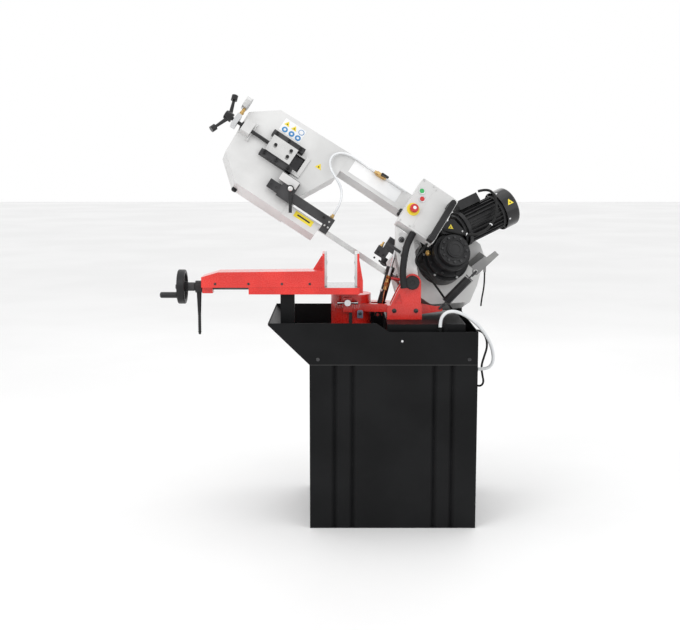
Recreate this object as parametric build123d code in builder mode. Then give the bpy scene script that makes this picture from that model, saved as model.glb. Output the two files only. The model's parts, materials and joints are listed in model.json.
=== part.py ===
"""Horizontal band saw on a sheet steel stand, in millimetres.

+Z is up, +X points from the idler end to the drive end, and -Y faces the operator.
The origin is the centre of the stand's underside, and Y = 0 is the cutting plane.
The bow is drawn raised, as it stands ready for a cut.
"""
import os
from math import cos, pi, radians, sin, tan

from build123d import *

# ---- stand -----------------------------------------------------------------
STAND_W = 600
STAND_D = 550
STAND_H = 602
SHEET = 2
FLOOR_T = 3
ANCHOR_D = 12
ANCHOR_INSET = 50
GROOVE_W = 26
GROOVE_DEPTH = 10
GROOVE_RIB = 38.5
GROOVE_PAIR_X = 178.7

TRAY_TOP = 752
TRAY_LOW_TOP = 721
TRAY_OVERHANG = 147
TRAY_STEP_LEFT = -62
TRAY_STEP_RIGHT = -16
DRAIN_D = 40

TANK_W, TANK_D, TANK_H = 380, 300, 160
PUMP_D = 110
PUMP_H = 150

PLINTH_LEFT, PLINTH_RIGHT = -22, 258
PLINTH_FRONT, PLINTH_BACK = -238, 150
PLINTH_TOP = 743

# ---- turntable and vice ----------------------------------------------------
TURN_X = -150
TURN_D = 150
TURN_FOOT = 700
RING_BOTTOM = 766
RING_TOP = 796
RING_GAP = 0.3
KING_PIN_D = 30
FIT = 0.05
DISC_TOP = 828

BED_BOTTOM = 846
BED_TOP = 870
BED_LEFT = -520
BEAM_NEAR, BEAM_FAR = -200, -100
JAW_FIXED_X = -137
JAW_MOVING_X = -239
JAW_NEAR, JAW_FAR = -165, -45
JAW_TOP = 990
JAW_PLATE_T = 8
JAW_WALL = 8
SLIDE_LEFT = -684
SLIDE_TOP = 930
SLIDE_GAP = 0.3
SCREW_Z = 869
SCREW_Y = -150
SCREW_D = 22
WHEEL_X = -765
HANDWHEEL_D = 125
HANDWHEEL_RIM = 14
POST_X = -382
POST_W = 50

# ---- bow -------------------------------------------------------------------
BOW_RAISE = 33.5
BOW_LEAN = 25
PIVOT_X, PIVOT_Z = 74, 880
PIVOT_ALONG, PIVOT_UP = -61, 30
PIVOT_D = 28
BAND_WHEEL_D = 290
BAND_LENGTH = 2360
BLADE_W = 20
BLADE_T = 0.9
SPACING = (BAND_LENGTH - pi * BAND_WHEEL_D) / 2
WHEEL_R = BAND_WHEEL_D / 2
WHEEL_W = 24
RIM_R = WHEEL_R - BLADE_T / 2 - 0.3

FRAME_FRONT = 40
FRAME_BACK = -22
PLATE = 6
WALL = 4
BEAM_LOW, BEAM_HIGH = 225, 308
BEAM_LEFT = -505
HOUSING_FRONT = 30
HOUSING_BACK = -45
HOUSING_LEFT = -164
COVER_DEPTH = 24

CHEEK_FRONT = -120
CHEEK_T = 16
CHEEK_BACK = -40
CHEEK_R = 36
LUG_GAP = 0.5
LUG_R = 30

AXLE_Y = WHEEL_R
BLOCK_Y = 153
BLOCK_W = 70
GIB_W = 22
GIB_T = 22
SLIDE_FIT = 0.1

MOTOR_H = 100
WORM_OFFSET = 70
WORM_ANGLE = 30
MOTOR_START = 105
MOTOR_LENGTH = 170
MOTOR_D = 130
FAN_LENGTH = 60
FAN_D = 150

BAR_LEFT, BAR_RIGHT = -702, -421
BAR_LOW, BAR_HIGH = 25, 60
BAR_BACK, BAR_FRONT = 44, 60

FEED_Y = -36
FEED_FOOT = Vector(-50, FEED_Y, 752)
FEED_HEAD = Vector(19, FEED_Y, 1004)
FEED_D = 28
FEED_ROD_D = 12
FEED_PIN_R = 4
FEED_PLAY = 3

SPRING_Y = -80
SPRING_FOOT = Vector(178, SPRING_Y, 780)
SPRING_HEAD = Vector(310, SPRING_Y, 917)
SPRING_D = 34
SPRING_COIL = 120
HOOK_PIN_R = 3.5
HOOK_PLAY = 4.5

os.makedirs("parts", exist_ok=True)

# ---- planes ----------------------------------------------------------------
along = Vector(cos(radians(BOW_RAISE)), 0, -sin(radians(BOW_RAISE)))
upward = Vector(sin(radians(BOW_RAISE)), 0, cos(radians(BOW_RAISE)))
front = Vector(0, -1, 0)
face_out = front * cos(radians(BOW_LEAN)) + upward * sin(radians(BOW_LEAN))
pivot = Vector(PIVOT_X, 0, PIVOT_Z)
drive_point = pivot - along * PIVOT_ALONG - upward * PIVOT_UP
CUT = Plane(origin=drive_point, x_dir=along, z_dir=front)
BOW = Plane(origin=drive_point, x_dir=along, z_dir=face_out)


def save(piece, name):
    """Label a finished piece and write its STEP file."""
    piece.part.label = name
    export_step(piece.part, "parts/" + name + ".step")


def in_bow(x, y, height):
    """World point of a place in the bow's leaning frame."""
    return BOW.from_local_coords(Vector(x, y, height))


def in_cut(x, y, height):
    """World point of a place in the cutting frame."""
    return CUT.from_local_coords(Vector(x, y, height))


def line_plane(start, end, offset=0):
    """Plane across the line from start to end, offset along it."""
    return Plane(origin=start, z_dir=(end - start)).offset(offset)


# ---- stand pieces ----------------------------------------------------------
def cabinet_outline():
    """Points of the cabinet's plan, with two pairs of pressed grooves in front."""
    half_w, half_d = STAND_W / 2, STAND_D / 2
    points = [(-half_w, half_d), (-half_w, -half_d)]
    for pair in (-GROOVE_PAIR_X, GROOVE_PAIR_X):
        for side in (-1, 1):
            middle = pair + side * (GROOVE_RIB + GROOVE_W) / 2
            points.append((middle - GROOVE_W / 2, -half_d))
            points.append((middle, -half_d + GROOVE_DEPTH))
            points.append((middle + GROOVE_W / 2, -half_d))
    points += [(half_w, -half_d), (half_w, half_d)]
    return points


HOSE_GLAND = Vector(STAND_W / 2, -192, 572)
LEAD_GLAND = Vector(STAND_W / 2, -100, 700)
GLAND_T = 10

with BuildPart() as cabinet:
    with BuildSketch(Plane.XY.offset(FLOOR_T)):
        with BuildLine():
            Polyline(*cabinet_outline(), close=True)
        make_face()
        offset(amount=-SHEET, kind=Kind.INTERSECTION, mode=Mode.SUBTRACT)
    extrude(amount=STAND_H - FLOOR_T)
    with BuildSketch(Plane.XY):
        Rectangle(STAND_W, STAND_D)
        with GridLocations(STAND_W - 2 * ANCHOR_INSET, STAND_D - 2 * ANCHOR_INSET, 2, 2):
            Circle(ANCHOR_D / 2, mode=Mode.SUBTRACT)
    extrude(amount=FLOOR_T)
    with BuildSketch(Plane.YZ.offset(HOSE_GLAND.X)):
        with Locations((HOSE_GLAND.Y, HOSE_GLAND.Z)):
            Circle(10)
    extrude(amount=GLAND_T)
save(cabinet, "cabinet")

half_w = STAND_W / 2
tray_profile = [
    (half_w, STAND_H),
    (half_w, TRAY_TOP),
    (-half_w - TRAY_OVERHANG, TRAY_TOP),
    (-half_w - TRAY_OVERHANG, TRAY_TOP - 7),
    (-half_w, STAND_H),
]
with BuildPart() as chip_tray:
    with BuildSketch(Plane.XZ.offset(-STAND_D / 2)):
        with BuildLine():
            Polyline(*tray_profile, close=True)
        make_face()
    extrude(amount=STAND_D)
    tray_rim = chip_tray.faces().sort_by(Axis.Z)[-1]
    offset(amount=-SHEET, openings=tray_rim, kind=Kind.INTERSECTION)
    with BuildSketch(Plane.XZ.offset(-STAND_D / 2 + SHEET)):
        with BuildLine():
            Polyline(
                (TRAY_STEP_LEFT, TRAY_TOP + 1),
                (TRAY_STEP_LEFT, TRAY_TOP),
                (TRAY_STEP_RIGHT, TRAY_LOW_TOP),
                (half_w + 1, TRAY_LOW_TOP),
                (half_w + 1, TRAY_TOP + 1),
                close=True,
            )
        make_face()
    extrude(amount=STAND_D, mode=Mode.SUBTRACT)
    with BuildSketch(Plane.XY.offset(STAND_H)):
        with Locations((half_w - 80, STAND_D / 2 - 70)):
            Circle(DRAIN_D / 2)
    extrude(amount=SHEET, mode=Mode.SUBTRACT)
    with BuildSketch(Plane.YZ.offset(LEAD_GLAND.X)):
        with Locations((LEAD_GLAND.Y, LEAD_GLAND.Z)):
            Circle(7)
    extrude(amount=GLAND_T)
save(chip_tray, "chip_tray")
tray_floor = STAND_H + SHEET

with BuildPart() as coolant_tank:
    with BuildSketch(Plane.XY.offset(FLOOR_T)):
        Rectangle(TANK_W, TANK_D)
    extrude(amount=TANK_H)
    tank_mouth = coolant_tank.faces().sort_by(Axis.Z)[-1]
    offset(amount=-SHEET, openings=tank_mouth, kind=Kind.INTERSECTION)
    with BuildSketch(Plane.XY.offset(FLOOR_T + TANK_H)):
        Rectangle(TANK_W, TANK_D)
    extrude(amount=SHEET)
    with BuildSketch(Plane.XY.offset(FLOOR_T + TANK_H + SHEET)):
        with Locations((TANK_W / 2 - PUMP_D, 0)):
            Circle(PUMP_D / 2)
    extrude(amount=PUMP_H)
save(coolant_tank, "coolant_tank")



def tray_slope(x):
    """Height of the tray's inner face where its left end slopes, at x."""
    rise = (TRAY_TOP - 7 - STAND_H) / TRAY_OVERHANG
    skin = SHEET * (1 + rise**2) ** 0.5
    return STAND_H + skin + rise * (-half_w - x)


beam_mid = (BEAM_NEAR + BEAM_FAR) / 2
with BuildPart() as vice_post:
    with BuildSketch(Plane.XZ.offset(-beam_mid - POST_W / 2)):
        with BuildLine():
            Polyline(
                (POST_X - POST_W / 2, tray_slope(POST_X - POST_W / 2)),
                (POST_X + POST_W / 2, tray_slope(POST_X + POST_W / 2)),
                (POST_X + POST_W / 2, BED_BOTTOM),
                (POST_X - POST_W / 2, BED_BOTTOM),
                close=True,
            )
        make_face()
    extrude(amount=POST_W)
save(vice_post, "vice_post")

plinth_mid = (PLINTH_LEFT + PLINTH_RIGHT) / 2
ELBOW_X, ELBOW_Y, ELBOW_TOP = 166, PLINTH_FRONT - 16, 735
with BuildPart() as plinth:
    with BuildSketch(Plane.XY.offset(tray_floor)):
        with Locations((plinth_mid, (PLINTH_FRONT + PLINTH_BACK) / 2)):
            Rectangle(PLINTH_RIGHT - PLINTH_LEFT, PLINTH_BACK - PLINTH_FRONT)
    extrude(amount=PLINTH_TOP - tray_floor)
    plinth_foot = plinth.faces().sort_by(Axis.Z)[0]
    offset(amount=-4, openings=plinth_foot, kind=Kind.INTERSECTION)
    with BuildSketch(Plane.XY.offset(tray_floor)):
        with Locations((TURN_X, 0)):
            Circle(TURN_D / 2)
            Circle(TURN_D / 2 - 5, mode=Mode.SUBTRACT)
    extrude(amount=TURN_FOOT - tray_floor)
    with BuildSketch(Plane.XY.offset(tray_floor)):
        with Locations(((TURN_X + PLINTH_LEFT) / 2, 0)):
            Rectangle(PLINTH_LEFT - TURN_X, TURN_D / 2)
    extrude(amount=4)
    with BuildSketch(Plane.XZ.offset(-PLINTH_FRONT)):
        with Locations((ELBOW_X, ELBOW_TOP - 13), (ELBOW_X + 20, ELBOW_TOP - 13)):
            Circle(8)
    extrude(amount=8)
    with BuildSketch(Plane.XZ.offset(-PLINTH_FRONT)):
        with Locations((ELBOW_X, ELBOW_TOP - 13)):
            Circle(7)
    extrude(amount=PLINTH_FRONT - ELBOW_Y)
    with BuildSketch(Plane.XY.offset(ELBOW_TOP - 20)):
        with Locations((ELBOW_X, ELBOW_Y)):
            Circle(7)
    extrude(amount=20)
save(plinth, "plinth")


# ---- turntable and vice pieces ---------------------------------------------
with BuildPart() as turntable_base:
    with BuildSketch(Plane.XY.offset(TURN_FOOT)):
        with Locations((TURN_X, 0)):
            Circle(TURN_D / 2)
    extrude(amount=RING_BOTTOM - TURN_FOOT)
    with BuildSketch(Plane.XY.offset(RING_BOTTOM)):
        with Locations((TURN_X, 0)):
            Circle(KING_PIN_D / 2)
    extrude(amount=DISC_TOP - 6 - RING_BOTTOM)
save(turntable_base, "turntable_base")

SCREW_CLEAR = 30
NUT_LEFT, NUT_T = BED_LEFT, 30
bed_right = JAW_FIXED_X + JAW_PLATE_T + JAW_WALL
beam_w = BEAM_FAR - BEAM_NEAR
deck_left = JAW_MOVING_X - 6
with BuildPart() as vice_bed:
    with BuildSketch(Plane.XY.offset(RING_TOP)):
        with Locations((TURN_X, 0)):
            Circle(TURN_D / 2)
    extrude(amount=DISC_TOP - RING_TOP)
    with BuildSketch(Plane.XY.offset(RING_TOP)):
        with Locations((TURN_X, 0)):
            Circle(KING_PIN_D / 2)
    extrude(amount=DISC_TOP - 6 - RING_TOP, mode=Mode.SUBTRACT)
    with BuildSketch(Plane.XY.offset(DISC_TOP)):
        with Locations((TURN_X - 15, -52)):
            Rectangle(80, 66)
    extrude(amount=BED_BOTTOM - DISC_TOP)
    with BuildSketch(Plane.XY.offset(BED_BOTTOM)):
        with Locations(((BED_LEFT + bed_right) / 2, beam_mid)):
            Rectangle(bed_right - BED_LEFT, beam_w)
        with Locations(((deck_left + bed_right) / 2, (BEAM_NEAR - 14) / 2)):
            Rectangle(bed_right - deck_left, -14 - BEAM_NEAR)
    extrude(amount=BED_TOP - BED_BOTTOM)
    with BuildSketch(Plane.XY.offset(BED_BOTTOM)):
        with Locations(((BED_LEFT + deck_left) / 2, SCREW_Y)):
            Rectangle(deck_left - BED_LEFT, SCREW_CLEAR)
    extrude(amount=BED_TOP - BED_BOTTOM, mode=Mode.SUBTRACT)
    with BuildSketch(Plane.YZ.offset(NUT_LEFT)):
        with Locations((SCREW_Y, (BED_BOTTOM + SCREW_Z + 23) / 2)):
            Rectangle(SCREW_CLEAR + 8, SCREW_Z + 23 - BED_BOTTOM)
        with Locations((SCREW_Y, SCREW_Z)):
            Circle(SCREW_D / 2 + FIT, mode=Mode.SUBTRACT)
    extrude(amount=NUT_T)
    with BuildSketch(Plane.YZ.offset(bed_right - JAW_WALL)):
        with Locations(((JAW_NEAR + JAW_FAR) / 2, (BED_TOP + JAW_TOP) / 2)):
            Rectangle(JAW_FAR - JAW_NEAR, JAW_TOP - BED_TOP)
    extrude(amount=JAW_WALL)
    with BuildSketch(Plane.XZ.offset(-JAW_NEAR - 14)):
        with BuildLine():
            Polyline(
                (bed_right, BED_TOP - 24),
                (bed_right + 13, BED_TOP - 24),
                (bed_right + 13, BED_TOP + 22),
                (bed_right, JAW_TOP - 22),
                close=True,
            )
        make_face()
    extrude(amount=12)
save(vice_bed, "vice_bed")


def jaw_plate(left):
    """Ground steel jaw face with two fixing screws, starting at X = left."""
    with BuildPart() as plate:
        with BuildSketch(Plane.YZ.offset(left)):
            with Locations(((JAW_NEAR + JAW_FAR) / 2, (BED_TOP + 1 + JAW_TOP) / 2)):
                Rectangle(JAW_FAR - JAW_NEAR, JAW_TOP - BED_TOP - 1)
        extrude(amount=JAW_PLATE_T)
    return plate


fixed_jaw_plate = jaw_plate(JAW_FIXED_X)
save(fixed_jaw_plate, "fixed_jaw_plate")
moving_jaw_plate = jaw_plate(JAW_MOVING_X - JAW_PLATE_T)
save(moving_jaw_plate, "moving_jaw_plate")

slide_bottom = BED_TOP + SLIDE_GAP
moving_wall = JAW_MOVING_X - JAW_PLATE_T
LUG_LEFT, LUG_T = -690, 38
with BuildPart() as vice_slide:
    with BuildSketch(Plane.XZ.offset(-BEAM_FAR)):
        with BuildLine():
            Polyline(
                (LUG_LEFT, slide_bottom),
                (moving_wall, slide_bottom),
                (moving_wall, SLIDE_TOP),
                (LUG_LEFT + 60, SLIDE_TOP - 4),
                (LUG_LEFT, SLIDE_TOP - 22),
                close=True,
            )
        make_face()
    extrude(amount=beam_w)
    with BuildSketch(Plane.XZ.offset(-BEAM_FAR + 12)):
        with Locations(((SLIDE_LEFT + 12 + moving_wall - 12) / 2, (slide_bottom + 905) / 2)):
            Rectangle(moving_wall - SLIDE_LEFT - 24, 905 - slide_bottom)
    extrude(amount=beam_w - 24, mode=Mode.SUBTRACT)
    with BuildSketch(Plane.YZ.offset(moving_wall - JAW_WALL)):
        with Locations(((JAW_NEAR + JAW_FAR) / 2, (slide_bottom + JAW_TOP) / 2)):
            Rectangle(JAW_FAR - JAW_NEAR, JAW_TOP - slide_bottom)
    extrude(amount=JAW_WALL)
    with BuildSketch(Plane.XZ.offset(-JAW_NEAR - 60)):
        with BuildLine():
            Polyline(
                (moving_wall, SLIDE_TOP - 6),
                (moving_wall - 46, SLIDE_TOP - 6),
                (moving_wall - 12, JAW_TOP - 12),
                (moving_wall, JAW_TOP - 12),
                close=True,
            )
        make_face()
    extrude(amount=12)
    with BuildSketch(Plane.YZ.offset(LUG_LEFT)):
        with Locations((SCREW_Y, (SCREW_Z - 22 + SLIDE_TOP - 30) / 2)):
            Rectangle(44, SLIDE_TOP - 30 - SCREW_Z + 22)
    extrude(amount=LUG_T)
    with BuildSketch(Plane.YZ.offset(LUG_LEFT)):
        with Locations((SCREW_Y, SCREW_Z)):
            Circle(SCREW_D / 2 + FIT)
    extrude(amount=LUG_T, mode=Mode.SUBTRACT)
save(vice_slide, "vice_slide")

SCREW_END = -345
HUB_RIGHT = -744
with BuildPart() as vice_screw:
    with BuildSketch(Plane.YZ.offset(WHEEL_X - 12)):
        with Locations((SCREW_Y, SCREW_Z)):
            Circle(SCREW_D / 2)
    extrude(amount=SCREW_END - WHEEL_X + 12)
    with BuildSketch(Plane.YZ.offset(HUB_RIGHT)):
        with Locations((SCREW_Y, SCREW_Z)):
            Circle(SCREW_D / 2 + 4)
    extrude(amount=26)
save(vice_screw, "vice_screw")

SPOKE_W = 16
GRIP_LEFT = -840
with BuildPart() as handwheel:
    with BuildSketch(Plane.YZ.offset(WHEEL_X - HANDWHEEL_RIM)):
        with Locations((SCREW_Y, SCREW_Z)):
            Circle(HANDWHEEL_D / 2)
            Circle(HANDWHEEL_D / 2 - 14, mode=Mode.SUBTRACT)
    extrude(amount=2 * HANDWHEEL_RIM)
    fillet(handwheel.edges().filter_by(GeomType.CIRCLE), radius=5)
    with BuildSketch(Plane.YZ.offset(WHEEL_X - 6)):
        with Locations((SCREW_Y, SCREW_Z)):
            Circle(20)
            with PolarLocations(34, 3, start_angle=-90):
                Rectangle(40, SPOKE_W)
    extrude(amount=12)
    with BuildSketch(Plane.YZ.offset(WHEEL_X - 16)):
        with Locations((SCREW_Y, SCREW_Z)):
            Circle(18)
    extrude(amount=HUB_RIGHT - WHEEL_X + 16)
    with BuildSketch(Plane.YZ.offset(WHEEL_X - 12)):
        with Locations((SCREW_Y, SCREW_Z)):
            Circle(SCREW_D / 2)
    extrude(amount=HUB_RIGHT - WHEEL_X + 12, mode=Mode.SUBTRACT)
    with BuildSketch(Plane.YZ.offset(GRIP_LEFT + 22)):
        with Locations((SCREW_Y - 40, SCREW_Z - 26)):
            Circle(5)
    extrude(amount=WHEEL_X - GRIP_LEFT - 22)
save(handwheel, "handwheel")

with BuildPart() as crank_grip:
    with BuildSketch(Plane.YZ.offset(GRIP_LEFT)):
        with Locations((SCREW_Y - 40, SCREW_Z - 26)):
            Circle(11)
    extrude(amount=WHEEL_X - HANDWHEEL_RIM - 1 - GRIP_LEFT)
    fillet(crank_grip.edges().filter_by(GeomType.CIRCLE).sort_by(Axis.X)[0], radius=6)
    with BuildSketch(Plane.YZ.offset(GRIP_LEFT + 20)):
        with Locations((SCREW_Y - 40, SCREW_Z - 26)):
            Circle(5 + FIT)
    extrude(amount=60, mode=Mode.SUBTRACT)
save(crank_grip, "crank_grip")

COLLAR_LEFT = -716
with BuildPart() as vice_lever:
    with BuildSketch(Plane.YZ.offset(COLLAR_LEFT)):
        with Locations((SCREW_Y, SCREW_Z)):
            Circle(22)
            Circle(SCREW_D / 2 + FIT, mode=Mode.SUBTRACT)
    extrude(amount=24)
    with BuildSketch(Plane.XY.offset(SCREW_Z - 18)):
        with Locations((COLLAR_LEFT + 12, SCREW_Y)):
            Circle(9)
    with BuildSketch(Plane.XY.offset(SCREW_Z - 98)):
        with Locations((COLLAR_LEFT + 12, SCREW_Y)):
            Circle(6)
    loft()
    with BuildSketch(Plane.XY.offset(SCREW_Z - 175)):
        with Locations((COLLAR_LEFT + 12, SCREW_Y)):
            Circle(4.5)
    extrude(amount=78)
save(vice_lever, "vice_lever")

# ---- swivelling bracket ----------------------------------------------------
LOCK_X, LOCK_Z = -163, 804
cheek_foot = PLINTH_TOP + RING_GAP
ring_low, ring_high = RING_BOTTOM + RING_GAP, RING_TOP - RING_GAP
cheek_outline = [
    (PIVOT_X + CHEEK_R - 4, cheek_foot),
    (PIVOT_X + CHEEK_R - 4, PIVOT_Z),
    (PIVOT_X, PIVOT_Z + 8),
    (PIVOT_X - CHEEK_R + 2, PIVOT_Z),
    (PIVOT_X - 52, PIVOT_Z - 26),
    (PIVOT_X - 92, PIVOT_Z - 110),
    (PIVOT_X - 92, cheek_foot),
]
with BuildPart() as bow_bracket:
    with BuildSketch(Plane.XY.offset(ring_low)):
        with Locations((TURN_X, 0)):
            Circle(TURN_D / 2)
        with BuildLine():
            Polyline(
                (TURN_X, -60),
                (PIVOT_X - 92, -85),
                (PIVOT_X - 60, -85),
                (PIVOT_X - 60, CHEEK_BACK),
                (PIVOT_X - 66, 30),
                (TURN_X, 60),
                close=True,
            )
        make_face()
        with Locations((TURN_X, 0)):
            Circle(KING_PIN_D / 2 + FIT, mode=Mode.SUBTRACT)
    extrude(amount=ring_high - ring_low)
    with BuildSketch(Plane.XY.offset(ring_low)):
        with Locations((FEED_FOOT.X + 4, FEED_Y)):
            Rectangle(FEED_D + 30, FEED_D + 16)
    extrude(amount=ring_high - ring_low, mode=Mode.SUBTRACT)
    with BuildSketch(Plane.XY.offset(cheek_foot)):
        with Locations((PIVOT_X - 28, (CHEEK_FRONT + CHEEK_BACK) / 2)):
            Rectangle(128, CHEEK_BACK - CHEEK_FRONT)
    extrude(amount=ring_high - cheek_foot)
    for cheek_start in (-CHEEK_BACK, -CHEEK_FRONT - CHEEK_T):
        with BuildSketch(Plane.XZ.offset(cheek_start)):
            with BuildLine():
                Polyline(*cheek_outline, close=True)
            make_face()
            with Locations((PIVOT_X, PIVOT_Z)):
                Circle(CHEEK_R - 4)
        extrude(amount=CHEEK_T)
    with BuildSketch(Plane.XZ.offset(-CHEEK_FRONT)):
        with BuildLine():
            Polyline(
                (PIVOT_X - 46, PIVOT_Z - 40),
                (PIVOT_X - 38, PIVOT_Z - 76),
                (PIVOT_X - 66, PIVOT_Z - 76),
                close=True,
            )
        make_face()
    extrude(amount=-6, mode=Mode.SUBTRACT)
    with BuildSketch(Plane.XZ.offset(-CHEEK_BACK)):
        with Locations((PIVOT_X, PIVOT_Z)):
            Circle(PIVOT_D / 2)
    extrude(amount=CHEEK_BACK - CHEEK_FRONT, mode=Mode.SUBTRACT)
    with BuildSketch(Plane.XY.offset(ring_low)):
        with Locations((LOCK_X, -80)):
            Rectangle(34, 24)
    extrude(amount=ring_high - ring_low)
    with BuildSketch(Plane.XY.offset(ring_high)):
        with Locations((LOCK_X, -84.5)):
            Rectangle(34, 15)
    extrude(amount=LOCK_Z + 16 - ring_high)
    with BuildSketch(Plane.XZ.offset(70)):
        with Locations((LOCK_X, LOCK_Z)):
            Circle(6)
    extrude(amount=30, mode=Mode.SUBTRACT)
    # spring anchor plate behind the front cheek, with its pin
    with BuildSketch(Plane.XZ.offset(-SPRING_Y - 4)):
        with BuildLine():
            Polyline(
                (PIVOT_X + 30, cheek_foot + 14),
                (SPRING_FOOT.X + 10, SPRING_FOOT.Z - 10),
                (SPRING_FOOT.X + 10, SPRING_FOOT.Z + 8),
                (SPRING_FOOT.X - 16, SPRING_FOOT.Z + 8),
                (PIVOT_X + 30, cheek_foot + 56),
                close=True,
            )
        make_face()
        with Locations((SPRING_FOOT.X, SPRING_FOOT.Z)):
            Circle(4.5, mode=Mode.SUBTRACT)
    extrude(amount=8)
    # lower eye of the feed cylinder
    with BuildSketch(Plane.XZ.offset(-FEED_Y - 20)):
        with Locations((FEED_FOOT.X, FEED_FOOT.Z)):
            Circle(6)
    extrude(amount=28)
    with BuildSketch(Plane.XY.offset(FEED_FOOT.Z - 8)):
        with Locations((FEED_FOOT.X + 4, FEED_Y + 22)):
            Rectangle(30, 8)
    extrude(amount=ring_low - FEED_FOOT.Z + 8)
save(bow_bracket, "bow_bracket")

with BuildPart() as pivot_shaft:
    with BuildSketch(Plane.XZ.offset(-CHEEK_BACK)):
        with Locations((PIVOT_X, PIVOT_Z)):
            Circle(PIVOT_D / 2)
    extrude(amount=CHEEK_BACK - CHEEK_FRONT)
    with BuildSketch(Plane.XZ.offset(-CHEEK_FRONT)):
        with Locations((PIVOT_X, PIVOT_Z)):
            Circle(26)
    extrude(amount=7)
    fillet(pivot_shaft.faces().sort_by(Axis.Y)[0].edges(), radius=3)
save(pivot_shaft, "pivot_shaft")

with BuildPart() as mitre_lock:
    with BuildSketch(Plane.XZ.offset(76)):
        with Locations((LOCK_X, LOCK_Z)):
            Circle(6 - FIT)
    extrude(amount=40)
    with BuildSketch(Plane.XZ.offset(96)):
        with Locations((LOCK_X, LOCK_Z)):
            Circle(12)
    extrude(amount=20)
    with BuildSketch(Plane.YZ.offset(LOCK_X - 38)):
        with Locations((-106, LOCK_Z)):
            Circle(4.5)
    extrude(amount=76)
    for end in (-38, 24):
        with BuildSketch(Plane.YZ.offset(LOCK_X + end)):
            with Locations((-106, LOCK_Z)):
                Circle(7)
        extrude(amount=14)
save(mitre_lock, "mitre_lock")


# ---- bow shells ------------------------------------------------------------
HEAD_OUTLINE = [
    (-898, 35),
    (-805, -47),
    (-586, -47),
    (-578, 50),
    (BEAM_LEFT, 200),
    (BEAM_LEFT, BEAM_HIGH),
    (-816, 298),
    (-910, 218),
]
HOUSING_OUTLINE = [
    (HOUSING_LEFT, 60),
    (-80, -19),
    (52, -19),
    (176, 76),
    (168, 150),
    (138, 266),
    (98, 300),
    (HOUSING_LEFT, BEAM_HIGH),
]
SLOT_LEFT, SLOT_RIGHT = -785, -625
BLADE_GAP = 14


def shell(outline, face, back, cut_back):
    """Open-backed shell: a front plate with a rim, from an outline in the bow frame."""
    with BuildPart() as piece:
        with BuildSketch(BOW.offset(back)):
            with BuildLine():
                Polyline(*outline, close=True)
            make_face()
        extrude(amount=face - back)
        with BuildSketch(BOW.offset(cut_back)):
            with BuildLine():
                Polyline(*outline, close=True)
            make_face()
            offset(amount=-WALL, kind=Kind.INTERSECTION, mode=Mode.REPLACE)
        extrude(amount=face - PLATE - cut_back, mode=Mode.SUBTRACT)
    return piece


head = shell(HEAD_OUTLINE, FRAME_FRONT, FRAME_BACK, FRAME_BACK)
slot_low, slot_high = BLOCK_Y - BLOCK_W / 2 + 4, BLOCK_Y + BLOCK_W / 2 - 4
with BuildPart() as bow_head:
    add(head.part)
    with BuildSketch(BOW.offset(FRAME_FRONT - PLATE)):
        with Locations(((SLOT_LEFT + SLOT_RIGHT) / 2, (slot_low + slot_high) / 2)):
            Rectangle(SLOT_RIGHT - SLOT_LEFT, slot_high - slot_low)
    extrude(amount=PLATE, mode=Mode.SUBTRACT)
    with BuildSketch(BOW.offset(-BLADE_GAP)):
        with Locations((-585, 0), (BEAM_LEFT, 2 * WHEEL_R)):
            Rectangle(30, 2 * BLADE_GAP)
    extrude(amount=2 * BLADE_GAP, mode=Mode.SUBTRACT)
save(bow_head, "bow_head")

beam_back = FRAME_BACK
with BuildPart() as bow_beam:
    with BuildSketch(BOW.offset(beam_back)):
        with Locations(((BEAM_LEFT + HOUSING_LEFT) / 2, (BEAM_LOW + BEAM_HIGH) / 2)):
            Rectangle(HOUSING_LEFT - BEAM_LEFT, BEAM_HIGH - BEAM_LOW)
    extrude(amount=FRAME_FRONT - beam_back)
    with BuildSketch(BOW.offset(beam_back + WALL)):
        with Locations(((BEAM_LEFT + HOUSING_LEFT) / 2, (BEAM_LOW + BEAM_HIGH) / 2)):
            Rectangle(HOUSING_LEFT - BEAM_LEFT, BEAM_HIGH - BEAM_LOW - 2 * WALL)
    extrude(amount=FRAME_FRONT - beam_back - 2 * WALL, mode=Mode.SUBTRACT)
save(bow_beam, "bow_beam")

housing = shell(HOUSING_OUTLINE, HOUSING_FRONT, HOUSING_BACK, HOUSING_BACK)
SHAFT_BORE = 26
with BuildPart() as wheel_housing:
    add(housing.part)
    with BuildSketch(BOW.offset(HOUSING_FRONT - PLATE)):
        with Locations((0, AXLE_Y)):
            Circle(SHAFT_BORE)
    extrude(amount=PLATE, mode=Mode.SUBTRACT)
    with BuildSketch(BOW.offset(-BLADE_GAP)):
        with Locations((-110, 0), (HOUSING_LEFT, 2 * WHEEL_R)):
            Rectangle(60, 2 * BLADE_GAP)
    extrude(amount=2 * BLADE_GAP, mode=Mode.SUBTRACT)
save(wheel_housing, "wheel_housing")

with BuildPart() as rear_covers:
    for outline, back in ((HEAD_OUTLINE, FRAME_BACK), (HOUSING_OUTLINE, HOUSING_BACK)):
        with BuildSketch(BOW.offset(back - COVER_DEPTH)):
            with BuildLine():
                Polyline(*outline, close=True)
            make_face()
        extrude(amount=COVER_DEPTH)
        with BuildSketch(BOW.offset(back - COVER_DEPTH + SHEET)):
            with BuildLine():
                Polyline(*outline, close=True)
            make_face()
            offset(amount=-SHEET, kind=Kind.INTERSECTION, mode=Mode.REPLACE)
        extrude(amount=COVER_DEPTH - SHEET, mode=Mode.SUBTRACT)
save(rear_covers, "rear_covers")

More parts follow.
